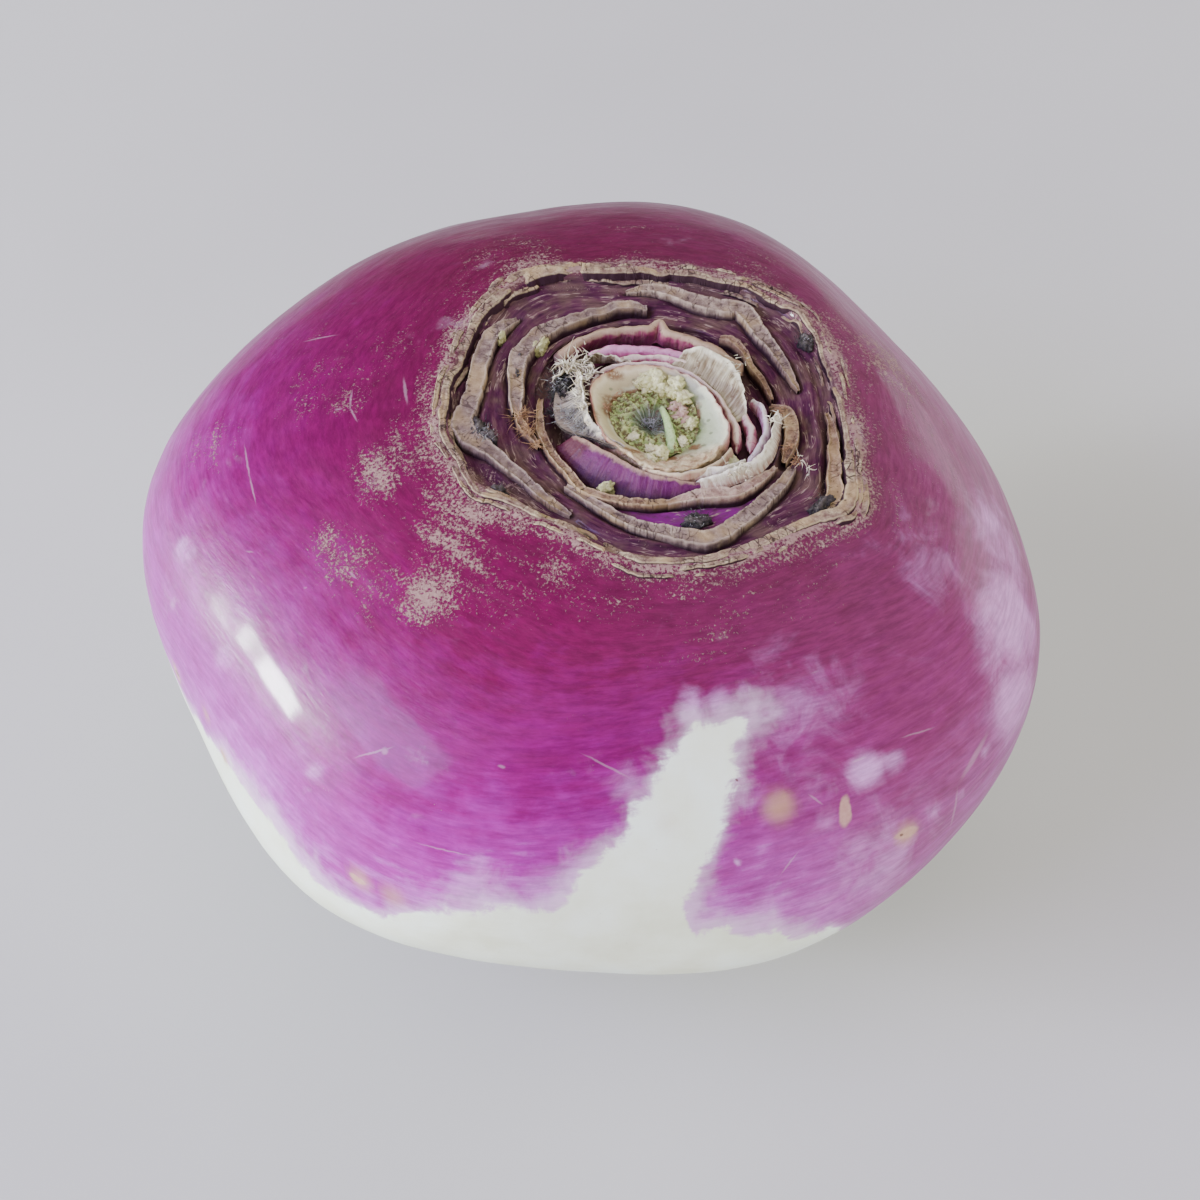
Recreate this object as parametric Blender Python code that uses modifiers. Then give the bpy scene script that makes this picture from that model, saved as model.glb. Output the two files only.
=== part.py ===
"""A purple-top turnip as it is sold: leaves cut off, tail trimmed short, standing on the cut.

The swollen root is one solid. Its crown carries the corky scars of the leaves that fell, and in the
middle stand the stubs of the youngest leaf stalks, each a piece of its own, round a green heart.

Metres, +Z up. The origin is on the surface that the turnip stands on, under the middle of its outline.
Crown places are polar: degrees from +X, and metres from the crown's middle.
"""

import math

import bmesh
import bpy
from mathutils import Vector

# The swollen root
GIRTH_R = 0.0462
EQUATOR_Z = 0.0309
SHOULDER_RISE = 0.0291
BELLY_DROP = 0.0285
SHOULDER_FULLNESS = 2.6
BELLY_FULLNESS = 1.8
AXIS_AT = Vector((0.0006, -0.0005))
SHOULDER_SHIFT = Vector((-0.0007, 0.0028))
BELLY_SHIFT = Vector((0.0001, 0.0016))
# Broad waves round the root: how many, how high in metres, and the way that the first crest faces
SHOULDER_WAVES = (
    (2, 0.0014, -35), (3, 0.0008, -31), (4, 0.0020, -19), (5, 0.0012, -35), (6, 0.0008, 11),
)
BELLY_WAVES = ((2, 0.0014, -68), (3, 0.0007, -32), (4, 0.0011, -44), (5, 0.0007, -16), (6, 0.0012, -4))
WAVES_BLEND_Z = (0.017, 0.045)
WAVES_START_R = (0.022, 0.038)
# The shoulder is smoother in front: the share of its waves that is left there, and the sines it changes over
FRONT_CALM = 0.45
CALM_BETWEEN = (-0.9, -0.1)
SHOULDER_STARTS_PAST_CROWN = 0.001

# The trimmed tail, and the hollow fillet from the belly to it: (share of the way out, share of the way up)
TAIL_R = 0.0080
TAIL_CUT_Z = 0.0
TAIL_ROUNDING = 0.0008
TAIL_ROOT_R = 0.0155
TAIL_FILLET = ((0.45, 0.62), (0.12, 0.36))

# The crown
CROWN_AT = Vector((0.0059, 0.0009))
CROWN_HOLD_R = (0.020, 0.046)
SEAT_R = 0.0110
RIM_R = 0.0205
SEAT_Z = 0.0566
RIM_Z = 0.0587
# Radius and height from the seat of the stubs, over two terraces with a groove behind each, to the corky rim
CROWN_PROFILE = (
    (0.0000, SEAT_Z),
    (0.0055, SEAT_Z),
    (SEAT_R, SEAT_Z),
    (0.0117, 0.0577),
    (0.0134, 0.0575),
    (0.0150, 0.0577),
    (0.0168, 0.0580),
    (0.0182, 0.0576),
    (0.0195, 0.0578),
    (0.0201, 0.0584),
    (RIM_R, RIM_Z),
    (0.0214, 0.0587),
    (0.0224, 0.0583),
)
# How far out the rim and the seat's edge lie in each direction
RIM_OUTLINE = (
    (0, 0.0187), (26, 0.0195), (45, 0.0204), (75, 0.0200), (100, 0.0201), (126, 0.0226), (150, 0.0212),
    (175, 0.0206), (205, 0.0202), (225, 0.0182), (242, 0.0177), (262, 0.0195), (285, 0.0203),
    (310, 0.0207), (326, 0.0226), (342, 0.0204),
)
SEAT_OUTLINE = (
    (0, 0.0124), (45, 0.0124), (100, 0.0126), (130, 0.0128), (160, 0.0116), (180, 0.0105), (215, 0.0109),
    (250, 0.0118), (290, 0.0123), (325, 0.0131),
)

# Corky leaf scars, fused to the root: degrees, distance out, half width
SCAR_DEPTH = 0.0017
SCAR_EDGE = 0.0003
SCAR_FLAT = 0.7
SCAR_TIP_DROP = 0.0005
SCAR_TIP_HALF = (0.0003, 0.0008)
OUTER_SCAR_TOP_Z = 0.0585
INNER_SCAR_TOP_Z = 0.0587
OUTER_SCARS = {
    "left": (
        (135, 0.0190, 0.0003), (142, 0.0192, 0.0008), (150, 0.0189, 0.0009), (168, 0.0180, 0.0010),
        (185, 0.0184, 0.0012), (194, 0.0176, 0.0009), (204, 0.0161, 0.0006), (224, 0.0153, 0.0005),
        (240, 0.0156, 0.0003),
    ),
    "back": (
        (97, 0.0176, 0.0003), (88, 0.0177, 0.0007), (74, 0.0167, 0.0010), (60, 0.0171, 0.0011),
        (47, 0.0160, 0.0009), (34, 0.0153, 0.0007), (12, 0.0153, 0.0003),
    ),
    "right": ((0, 0.0174, 0.0003), (346, 0.0186, 0.0006), (334, 0.0198, 0.0008), (324, 0.0212, 0.0009)),
    "front": (
        (230, 0.0130, 0.0003), (250, 0.0139, 0.0004), (268, 0.0155, 0.0005), (281, 0.0167, 0.0008),
        (291, 0.0174, 0.0011), (303, 0.0167, 0.0011), (318, 0.0160, 0.0009), (331, 0.0157, 0.0004),
    ),
}
INNER_SCARS = {
    "left": (
        (90, 0.0148, 0.0006), (108, 0.0150, 0.0007), (128, 0.0151, 0.0008), (145, 0.0151, 0.0011),
        (162, 0.0140, 0.0010), (180, 0.0134, 0.0008), (195, 0.0122, 0.0003),
    ),
    "front": (
        (174, 0.0111, 0.0003), (196, 0.0113, 0.0004), (220, 0.0116, 0.0004), (245, 0.0124, 0.0004),
        (272, 0.0124, 0.0005), (295, 0.0126, 0.0008), (312, 0.0138, 0.0006), (326, 0.0144, 0.0003),
    ),
    "right": ((4, 0.0130, 0.0003), (352, 0.0139, 0.0008), (340, 0.0147, 0.0007), (331, 0.0146, 0.0003)),
    "back": ((56, 0.0136, 0.0004), (42, 0.0134, 0.0006), (28, 0.0132, 0.0004), (10, 0.0132, 0.0003)),
}
# Sleeping buds behind the scars: degrees, distance out, radius
BUDS = (
    (190, 0.0170, 0.0012), (216, 0.0176, 0.0007), (286, 0.0150, 0.0010), (32, 0.0184, 0.0010),
    (322, 0.0194, 0.0010), (141, 0.0136, 0.0009),
)
BUD_HEIGHT = 0.0008
BUD_Z = 0.0578

# The stubs of the youngest stalks. Nothing here touches: a gap of this width keeps each solid its own
GAP = 0.0003
FOOT_Z = SEAT_Z + GAP
CUP_AT = (0.0010, -0.0026)
CUP_WAVES = ((2, 0.0003, 60), (3, 0.0003, 10), (5, 0.0002, 40))
CUP_WAVES_START_R = (0.003, 0.006)
CUP_PROFILE = (
    (0.0000, 0.0574),
    (0.0034, 0.0574),
    (0.0039, 0.0577),
    (0.0042, 0.0587),
    (0.0052, 0.0594),
    (0.0062, 0.0601),
    (0.0066, 0.0599),
    (0.0067, 0.0590),
    (0.0064, FOOT_Z),
)
HEART_R = 0.0031
HEART_Z = CUP_PROFILE[0][1] + GAP
HEART_RISE = 0.0011
HEART_KNOBS = (5, 0.18)

# Each stub: its path as (x, y) from the crown's middle, its half thickness, its top, and its outward lean
STALKS = {
    "stalk_stub_front": (
        ((-0.0075, -0.0048), (-0.0066, -0.0070), (-0.0047, -0.0090), (-0.0018, -0.0104), (0.0016, -0.0108),
         (0.0048, -0.0102)),
        0.0007, 0.0593, -0.0003,
    ),
    "stalk_stub_back": (
        ((-0.0036, 0.0068), (-0.0006, 0.0066), (0.0030, 0.0056), (0.0062, 0.0030), (0.0084, -0.0006),
         (0.0092, -0.0044)),
        0.0006, 0.0596, 0.0002,
    ),
    "stalk_stub_outer_back": (
        ((-0.0084, 0.0064), (-0.0070, 0.0090), (-0.0040, 0.0106), (0.0000, 0.0108), (0.0034, 0.0098),
         (0.0066, 0.0082), (0.0090, 0.0062)),
        0.0007, 0.0592, 0.0000,
    ),
}
DRIED = {
    "dry_base_left": (
        ((-0.0085, 0.0038), (-0.0079, 0.0012), (-0.0078, -0.0012), (-0.0074, -0.0032)),
        0.0005, 0.0604, -0.0006,
    ),
    "dry_base_back": (
        ((0.0052, 0.0062), (0.0078, 0.0040), (0.0096, 0.0010), (0.0104, -0.0020)),
        0.0005, 0.0606, 0.0008,
    ),
    "dry_base_right": (
        ((0.0116, -0.0026), (0.0114, -0.0052), (0.0098, -0.0078), (0.0068, -0.0096)),
        0.0005, 0.0602, 0.0003,
    ),
}
# How much of its thickness and height a stub keeps at its ends, and its section: (share out, share up)
WALL_TIP = 0.4
WALL_SECTION = ((-1.0, 0.0), (1.0, 0.0), (1.0, 0.8), (0.5, 1.0), (-0.5, 1.0), (-1.0, 0.8))

# Facets
ROUND_STEPS = 84
SHOULDER_STEPS = 16
BELLY_STEPS = 14
CUP_STEPS = 36
STEPS_A_LEG = 3
MERGE_WITHIN = 0.00001
SHARP_DEGREES = 40


def smooth(value, start=0.0, end=1.0):
    """0 before start, 1 after end, and an even S between."""
    share = min(max((value - start) / (end - start), 0.0), 1.0)
    return share * share * (3 - 2 * share)


def waves(angle, terms):
    return sum(size * math.cos(count * (angle - math.radians(faces))) for count, size, faces in terms)


def shoulder_waves(angle):
    calm = FRONT_CALM + (1 - FRONT_CALM) * smooth(math.sin(angle), *CALM_BETWEEN)
    return waves(angle, SHOULDER_WAVES) * calm


def outline_at(angle, corners):
    """The distance out at this angle on a closed outline given as (degrees, distance), eased between corners."""
    degrees = math.degrees(angle) % 360
    ring = [*corners, (corners[0][0] + 360, corners[0][1])]
    for (a, near), (b, far) in zip(ring, ring[1:]):
        if a <= degrees <= b:
            return near + (far - near) * smooth(degrees, a, b)
    return ring[0][1]


def warp_radius(r, angle):
    """A radius of the plain turned crown, moved to where the rim and the seat really lie."""
    seat, rim = outline_at(angle, SEAT_OUTLINE), outline_at(angle, RIM_OUTLINE)
    if r <= SEAT_R:
        return r * seat / SEAT_R
    if r <= RIM_R:
        return seat + (rim - seat) * (r - SEAT_R) / (RIM_R - SEAT_R)
    return r + (rim - RIM_R) * (1 - smooth(r, RIM_R, CROWN_HOLD_R[1]))


def shape_root(point):
    """Moves a point of the plain turned root to its place on the real, uneven one."""
    angle = math.atan2(point.y, point.x)
    r = math.hypot(point.x, point.y)
    share = smooth(point.z, *WAVES_BLEND_Z)
    shoulder = shoulder_waves(angle) * smooth(r, *WAVES_START_R) * share
    belly = waves(angle, BELLY_WAVES) * (r / GIRTH_R) ** 2 * (1 - share)
    if point.z > EQUATOR_Z:
        out = warp_radius(r, angle) + shoulder + belly
        hold = 1 - smooth(r, *CROWN_HOLD_R)
        rise = smooth((point.z - EQUATOR_Z) / SHOULDER_RISE)
        middle = AXIS_AT + (SHOULDER_SHIFT * rise) * (1 - hold) + CROWN_AT * hold
    else:
        out = r + shoulder + belly
        middle = AXIS_AT + BELLY_SHIFT * smooth((EQUATOR_Z - point.z) / BELLY_DROP)
    return Vector((middle.x + out * math.cos(angle), middle.y + out * math.sin(angle), point.z))


def on_crown(degrees, distance):
    angle = math.radians(degrees)
    middle = AXIS_AT + CROWN_AT
    return Vector((middle.x + distance * math.cos(angle), middle.y + distance * math.sin(angle)))


def superellipse(share, fullness):
    """A quarter outline: (how far out, how far up), from the side at share 0 to the top at share 1."""
    turn = share * math.pi / 2
    return math.cos(turn) ** (2 / fullness), math.sin(turn) ** (2 / fullness)


def root_profile():
    """Radius and height down the outer side, from the crown's middle to the middle of the tail's cut."""
    points = list(CROWN_PROFILE)
    last_r = CROWN_PROFILE[-1][0]
    for step in range(SHOULDER_STEPS, -1, -1):
        out, up = superellipse(step / SHOULDER_STEPS, SHOULDER_FULLNESS)
        if GIRTH_R * out > last_r + SHOULDER_STARTS_PAST_CROWN:
            points.append((GIRTH_R * out, EQUATOR_Z + SHOULDER_RISE * up))
    for step in range(1, BELLY_STEPS):
        out, down = superellipse(step / BELLY_STEPS, BELLY_FULLNESS)
        if GIRTH_R * out > TAIL_ROOT_R:
            points.append((GIRTH_R * out, EQUATOR_Z - BELLY_DROP * down))
    root_r, root_z = points[-1]
    for out, up in TAIL_FILLET:
        points.append((TAIL_R + (root_r - TAIL_R) * out, TAIL_CUT_Z + (root_z - TAIL_CUT_Z) * up))
    points.append((TAIL_R, TAIL_CUT_Z + TAIL_ROUNDING))
    points.append((TAIL_R - TAIL_ROUNDING, TAIL_CUT_Z))
    points.append((0.0, TAIL_CUT_Z))
    return points


def material(name, colour, roughness):
    made = bpy.data.materials.new(name)
    made.use_nodes = True
    shader = made.node_tree.nodes["Principled BSDF"]
    shader.inputs["Base Color"].default_value = (*colour, 1)
    shader.inputs["Roughness"].default_value = roughness
    shader.inputs["Metallic"].default_value = 0.0
    return made


def add_object(name, mesh, collection, finish):
    made = bpy.data.objects.new(name, mesh)
    collection.objects.link(made)
    if finish:
        mesh.materials.clear()
        mesh.materials.append(finish)
    return made


def turned(name, profile, steps, collection, finish):
    """A profile turned about Z by a Screw modifier, which is then applied so that its points can be moved."""
    outline = bpy.data.meshes.new(name)
    outline.from_pydata(
        [(r, 0, z) for r, z in profile], [(i, i + 1) for i in range(len(profile) - 1)], []
    )
    spun = bpy.data.objects.new(name + "_outline", outline)
    collection.objects.link(spun)
    screw = spun.modifiers.new("turn", "SCREW")
    screw.steps = screw.render_steps = steps
    screw.use_merge_vertices = True
    screw.merge_threshold = MERGE_WITHIN
    graph = bpy.context.evaluated_depsgraph_get()
    mesh = bpy.data.meshes.new_from_object(spun.evaluated_get(graph))
    bpy.data.objects.remove(spun)
    mesh.name = name
    return add_object(name, mesh, collection, finish)


def loft(name, rings, collection, finish):
    """A solid through rings of equally many points, capped at both ends."""
    made = bmesh.new()
    rows = [[made.verts.new(point) for point in ring] for ring in rings]
    count = len(rows[0])
    for near, far in zip(rows, rows[1:]):
        for i in range(count):
            j = (i + 1) % count
            made.faces.new((near[i], near[j], far[j], far[i]))
    made.faces.new(rows[0])
    made.faces.new(rows[-1])
    bmesh.ops.recalc_face_normals(made, faces=made.faces)
    mesh = bpy.data.meshes.new(name)
    made.to_mesh(mesh)
    made.free()
    return add_object(name, mesh, collection, finish)


def smooth_path(points, steps):
    """A Catmull-Rom line through the points, with this many steps a leg. Each point is a tuple of numbers."""
    padded = [points[0], *points, points[-1]]
    line = []
    for before, a, b, after in zip(padded, padded[1:], padded[2:], padded[3:]):
        for step in range(steps):
            t = step / steps
            line.append(tuple(
                0.5 * (2 * q + (r - p) * t + (2 * p - 5 * q + 4 * r - s) * t * t + (3 * q - p - 3 * r + s) * t ** 3)
                for p, q, r, s in zip(before, a, b, after)
            ))
    line.append(tuple(points[-1]))
    return line


def across(line, index):
    """The level direction square to the path at one of its points, to its right."""
    before, after = line[max(index - 1, 0)], line[min(index + 1, len(line) - 1)]
    along = Vector((after[0] - before[0], after[1] - before[1])).normalized()
    return Vector((along.y, -along.x))


def scar(name, path, top_z, collection):
    """A leaf scar: a low crescent with a flat corky top and tapered tips, sunk in the crown."""
    spots = [(*on_crown(degrees, distance), half) for degrees, distance, half in path]
    line = smooth_path(spots, STEPS_A_LEG)
    section = (
        (-1, -SCAR_DEPTH), (1, -SCAR_DEPTH), (1, -SCAR_EDGE), (SCAR_FLAT, 0), (-SCAR_FLAT, 0), (-1, -SCAR_EDGE),
    )
    rings = []
    for i, (x, y, half) in enumerate(line):
        side = across(line, i) * half
        top = top_z - SCAR_TIP_DROP * (1 - smooth(half, *SCAR_TIP_HALF))
        rings.append([(x + side.x * out, y + side.y * out, top + up) for out, up in section])
    return loft(name, rings, collection, None)


def bud(name, degrees, distance, radius, collection):
    """A low round bud half sunk in the groove."""
    ball = bmesh.new()
    bmesh.ops.create_icosphere(ball, subdivisions=1, radius=radius)
    spot = on_crown(degrees, distance)
    for vert in ball.verts:
        vert.co.z *= BUD_HEIGHT / radius
        vert.co += Vector((spot.x, spot.y, BUD_Z))
    mesh = bpy.data.meshes.new(name)
    ball.to_mesh(mesh)
    ball.free()
    return add_object(name, mesh, collection, None)


def join_into(body, collection):
    """Fuses every object of the collection into the body, then removes them."""
    union = body.modifiers.new("fuse", "BOOLEAN")
    union.operation = "UNION"
    union.operand_type = "COLLECTION"
    union.collection = collection
    union.solver = "EXACT"
    graph = bpy.context.evaluated_depsgraph_get()
    fused = bpy.data.meshes.new_from_object(body.evaluated_get(graph))
    finish = body.data.materials[0]
    body.modifiers.clear()
    body.data = fused
    fused.materials.clear()
    fused.materials.append(finish)
    for helper in list(collection.objects):
        bpy.data.objects.remove(helper)
    bpy.data.collections.remove(collection)


def make_root(collection, finish):
    root = turned("turnip_root", root_profile(), ROUND_STEPS, collection, finish)
    for vert in root.data.vertices:
        vert.co = shape_root(vert.co)
    details = bpy.data.collections.new("crown_details")
    bpy.context.scene.collection.children.link(details)
    for name, path in OUTER_SCARS.items():
        scar("outer_scar_" + name, path, OUTER_SCAR_TOP_Z, details)
    for name, path in INNER_SCARS.items():
        scar("inner_scar_" + name, path, INNER_SCAR_TOP_Z, details)
    for number, (degrees, distance, radius) in enumerate(BUDS, 1):
        bud(f"bud_{number}", degrees, distance, radius, details)
    join_into(root, details)
    return root


def make_cup(collection, finish):
    """The youngest stalk's base, cut through: a thick cup round the heart, with its rim sloping inwards."""
    profile = [*CUP_PROFILE, (0.0, FOOT_Z)]
    cup = turned("stalk_stub_cup", profile, CUP_STEPS, collection, finish)
    middle = AXIS_AT + CROWN_AT + Vector(CUP_AT)
    for vert in cup.data.vertices:
        angle = math.atan2(vert.co.y, vert.co.x)
        r = math.hypot(vert.co.x, vert.co.y)
        out = r + waves(angle, CUP_WAVES) * smooth(r, *CUP_WAVES_START_R)
        vert.co = Vector((middle.x + out * math.cos(angle), middle.y + out * math.sin(angle), vert.co.z))
    return cup


def make_heart(collection, finish):
    """The green growing point: a low dome, knobbed with the beginnings of leaves, and flat underneath."""
    ball = bmesh.new()
    bmesh.ops.create_uvsphere(ball, u_segments=20, v_segments=10, radius=1.0)
    middle = AXIS_AT + CROWN_AT + Vector(CUP_AT)
    count, size = HEART_KNOBS
    for vert in ball.verts:
        angle = math.atan2(vert.co.y, vert.co.x)
        knobs = 1 + size * math.cos(count * angle) * math.sin(math.pi * math.hypot(vert.co.x, vert.co.y))
        rise = HEART_RISE * max(vert.co.z, 0.0) * knobs
        vert.co = Vector((middle.x + HEART_R * vert.co.x, middle.y + HEART_R * vert.co.y, HEART_Z + rise))
    mesh = bpy.data.meshes.new("heart_bud")
    ball.to_mesh(mesh)
    ball.free()
    return add_object("heart_bud", mesh, collection, finish)


def make_wall(name, path, half, top_z, lean, collection, finish):
    """The stub of a stalk: a bent wall that stands on the crown, lower and thinner at its ends."""
    middle = AXIS_AT + CROWN_AT
    line = smooth_path([(middle.x + x, middle.y + y) for x, y in path], STEPS_A_LEG)
    rings = []
    for i, (x, y) in enumerate(line):
        side = across(line, i)
        if side.dot(Vector((x, y)) - middle) < 0:
            side = -side
        full = WALL_TIP + (1 - WALL_TIP) * math.sqrt(math.sin(math.pi * i / (len(line) - 1)))
        rings.append([
            (
                x + side.x * full * (half * out + lean * up),
                y + side.y * full * (half * out + lean * up),
                FOOT_Z + (top_z - FOOT_Z) * full * up,
            )
            for out, up in WALL_SECTION
        ])
    return loft(name, rings, collection, finish)


def main():
    for old in list(bpy.data.objects):
        bpy.data.objects.remove(old)
    turnip = bpy.data.collections.new("turnip")
    bpy.context.scene.collection.children.link(turnip)
    skin = material("skin", (0.30, 0.02, 0.14), 0.42)
    cut_flesh = material("cut_flesh", (0.62, 0.58, 0.38), 0.55)
    green = material("heart_green", (0.28, 0.36, 0.10), 0.60)
    stalk = material("stalk", (0.36, 0.10, 0.24), 0.45)
    papery = material("papery", (0.52, 0.46, 0.34), 0.80)
    make_root(turnip, skin)
    make_cup(turnip, cut_flesh)
    make_heart(turnip, green)
    for name, (path, half, top_z, lean) in STALKS.items():
        make_wall(name, path, half, top_z, lean, turnip, stalk)
    for name, (path, half, top_z, lean) in DRIED.items():
        make_wall(name, path, half, top_z, lean, turnip, papery)
    for made in turnip.objects:
        made.data.shade_smooth()
        made.data.set_sharp_from_angle(angle=math.radians(SHARP_DEGREES))


main()
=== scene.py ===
"""The looks of a purple-top turnip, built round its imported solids.

Lengths are in metres unless a name ends in _MM, and +Z is up. The root's skin repeats the formula that the
solid was made from, on a finer grid. Places on the crown are in millimetres: x and y from the crown's
middle, and z from the surface that the turnip stands on. A place named by a pixel of the photograph, in its
1200 x 1200 frame, is where the line of sight through that pixel meets the skin.
"""

import math

import bmesh
import bpy
import numpy as np
from mathutils import Matrix, Vector
from mathutils.bvhtree import BVHTree


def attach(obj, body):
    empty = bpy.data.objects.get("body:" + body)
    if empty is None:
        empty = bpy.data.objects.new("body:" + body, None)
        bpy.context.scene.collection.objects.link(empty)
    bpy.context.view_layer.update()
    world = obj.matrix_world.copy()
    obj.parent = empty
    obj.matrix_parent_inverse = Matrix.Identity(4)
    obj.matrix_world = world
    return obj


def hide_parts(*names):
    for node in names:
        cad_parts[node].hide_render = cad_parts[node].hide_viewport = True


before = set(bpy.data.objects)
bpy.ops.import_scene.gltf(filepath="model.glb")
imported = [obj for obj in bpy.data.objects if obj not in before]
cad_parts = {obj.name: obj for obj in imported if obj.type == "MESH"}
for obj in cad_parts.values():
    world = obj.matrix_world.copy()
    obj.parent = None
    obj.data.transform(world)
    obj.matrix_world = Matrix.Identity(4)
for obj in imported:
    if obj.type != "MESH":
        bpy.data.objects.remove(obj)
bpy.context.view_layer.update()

MM = 0.001
NEXT_TO_NOTHING = 1e-9
WELD_WITHIN = 1e-7
FULL_TURN = 2 * math.pi
# More than any gap that matters, and how far the white fades into the purple, both in millimetres
FAR_MM = 9.0
SHORE_MM = 4.0

# The photograph's camera
PHOTO_SIDE = 1200
PHOTO_FOCAL = 2158
PITCH = math.radians(51)
CAMERA_DISTANCE = 0.236
CAMERA_AIM = Vector((0.0015, -0.0010, 0.0300))
SENSOR_MM = 36

# Soft lights: degrees round from +X, degrees up, and distance; width and height; power; colour
LAMP_AIM = Vector((0.0, 0.0, 0.040))
SHINING_LAMPS = {
    "window_left": ((184, 9, 0.70), (0.070, 0.140), 10.0, (0.90, 1.0, 0.97)),
    "window_high_left": ((204, 38, 0.90), (0.60, 0.32), 10.0, (0.52, 0.45, 1.0)),
    "window_right": ((32, 3, 0.90), (0.80, 0.50), 4.4, (1.0, 0.92, 1.0)),
}
# These fill the shadows and leave no shine
FILL_LAMPS = {
    "fill_front": ((-92, 10, 1.00), (0.90, 0.40), 9.0, (1.0, 1.0, 0.97)),
    "fill_above": ((-60, 78, 1.00), (0.90, 0.90), 6.0, (1.0, 1.0, 0.98)),
    "fill_right": ((15, 25, 1.00), (0.60, 0.60), 5.5, (1.0, 0.98, 0.97)),
    "fill_back": ((80, 35, 1.00), (0.90, 0.50), 4.0, (1.0, 0.98, 0.95)),
    "fill_left": ((185, 35, 1.00), (0.60, 0.60), 2.5, (1.0, 0.99, 0.98)),
}
SKY_COLOUR = (0.25, 0.25, 0.26)

# The root, as in the solid
GIRTH_R = 0.0462
EQUATOR_Z = 0.0309
SHOULDER_RISE = 0.0291
BELLY_DROP = 0.0285
SHOULDER_FULLNESS = 2.6
BELLY_FULLNESS = 1.8
AXIS_AT = np.array((0.0006, -0.0005))
SHOULDER_SHIFT = np.array((-0.0007, 0.0028))
BELLY_SHIFT = np.array((0.0001, 0.0016))
SHOULDER_WAVES = (
    (2, 0.0014, -35), (3, 0.0008, -31), (4, 0.0020, -19), (5, 0.0012, -35), (6, 0.0008, 11),
)
BELLY_WAVES = ((2, 0.0014, -68), (3, 0.0007, -32), (4, 0.0011, -44), (5, 0.0007, -16), (6, 0.0012, -4))
WAVES_BLEND_Z = (0.017, 0.045)
WAVES_START_R = (0.022, 0.038)
FRONT_CALM = 0.45
CALM_BETWEEN = (-0.9, -0.1)
TAIL_R = 0.0080
TAIL_ROUNDING = 0.0008
TAIL_ROOT_R = 0.0155
TAIL_FILLET = ((0.45, 0.62), (0.12, 0.36))
CROWN_AT = np.array((0.0059, 0.0009))
CROWN_MIDDLE_MM = (AXIS_AT + CROWN_AT) / MM
CROWN_HOLD_R = (0.020, 0.046)
SEAT_R = 0.0110
RIM_R = 0.0205
CROWN_PROFILE = (
    (0.0000, 0.0566), (0.0055, 0.0566), (SEAT_R, 0.0566), (0.0117, 0.0577), (0.0134, 0.0575),
    (0.0150, 0.0577), (0.0168, 0.0580), (0.0182, 0.0576), (0.0195, 0.0578), (0.0201, 0.0584),
    (RIM_R, 0.0587), (0.0214, 0.0587), (0.0224, 0.0583),
)
RIM_OUTLINE = (
    (0, 0.0187), (26, 0.0195), (45, 0.0204), (75, 0.0200), (100, 0.0201), (126, 0.0226), (150, 0.0212),
    (175, 0.0206), (205, 0.0202), (225, 0.0182), (242, 0.0177), (262, 0.0195), (285, 0.0203),
    (310, 0.0207), (326, 0.0226), (342, 0.0204),
)
SEAT_OUTLINE = (
    (0, 0.0124), (45, 0.0124), (100, 0.0126), (130, 0.0128), (160, 0.0116), (180, 0.0105), (215, 0.0109),
    (250, 0.0118), (290, 0.0123), (325, 0.0131),
)

# The skin's grid: segments round, and the spacing of its rings at distances out from the middle of the crown
SKIN_SEGMENTS = 448
SKIN_SPACING = ((0.0, 0.00070), (0.009, 0.00060), (0.0105, 0.00020), (0.0225, 0.00020), (0.030, 0.00085))

# Where the white belly ends, along its edge as the photograph shows it, from left to right
BELLY_EDGE_PIXELS = (
    (189, 703), (212, 735), (234, 763), (253, 793), (273, 823), (305, 864), (338, 895), (377, 916),
    (421, 912), (473, 908), (514, 905), (560, 915), (620, 915), (676, 902), (694, 927), (722, 926),
    (747, 931), (776, 925), (790, 940), (832, 928), (862, 922),
)
# And on the far side, which it doesn't show: degrees, and metres down the skin from the crown's middle
BELLY_EDGE_BEHIND = (
    (-28, 0.071), (-10, 0.073), (12, 0.069), (35, 0.066), (60, 0.071), (85, 0.067), (112, 0.072),
    (140, 0.068), (165, 0.065), (180, 0.062),
)
# The white streak up the front: pixel, and half width in millimetres
STREAK = (
    ((750, 718), 0.2), ((736, 726), 0.9), ((714, 742), 1.9), ((704, 758), 3.2), ((696, 778), 3.8),
    ((688, 801), 4.2), ((673, 832), 4.7), ((655, 867), 4.7), ((630, 900), 5.6), ((618, 925), 7.0),
)
# A faint swelling that gathers the window's reflection: pixel, half width and rise in millimetres
SHINING_MOUND = ((244, 634), 7.0, 0.55)
# The skin's relief: the size of its lumps, and their rise
SKIN_LUMPS = (0.0160, 0.00022)
SKIN_RINGS = (0.0011, 0.00003)
TAIL_RINGS = (0.0016, 0.00016)
FURROWS = (0.0006, 0.00015)
FURROWS_DRAWN_OUT = (0.45, 0.45, 1)
TRENCH_DEPTH = 0.00035
TRENCH_MM = 0.7
# Where on the skin things begin and end
OFF_TABLE_Z = (0.0004, 0.004)
OUTSIDE_RIM_R = (0.021, 0.027)
INSIDE_RIM = (-0.0002, 0.0006)
TAIL_RINGS_Z = (0.004, 0.016)
BROWN_TAIL_Z = (0.003, 0.013)
CUT_Z = 0.0002
EAST_X = (-0.004, 0.040)
NORTH_Y = (0.004, 0.036)
WEST_X = (0.010, 0.042)
CROWN_REACH_R = 0.0235
RIM_REACH_R = 0.036
GROUND_Z_MM = 57.8
VIOLET_Z_MM = 57.6
RIM_Z_MM = 58.6
VIOLET_EDGE_MM = (-0.4, 0.8)
DUSTY_RIM_MM = (0.4, 5.6)
LESS_DUST_INSIDE = 0.6
DUST_REACH = 2.3
FLOW_R = 0.007
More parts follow.
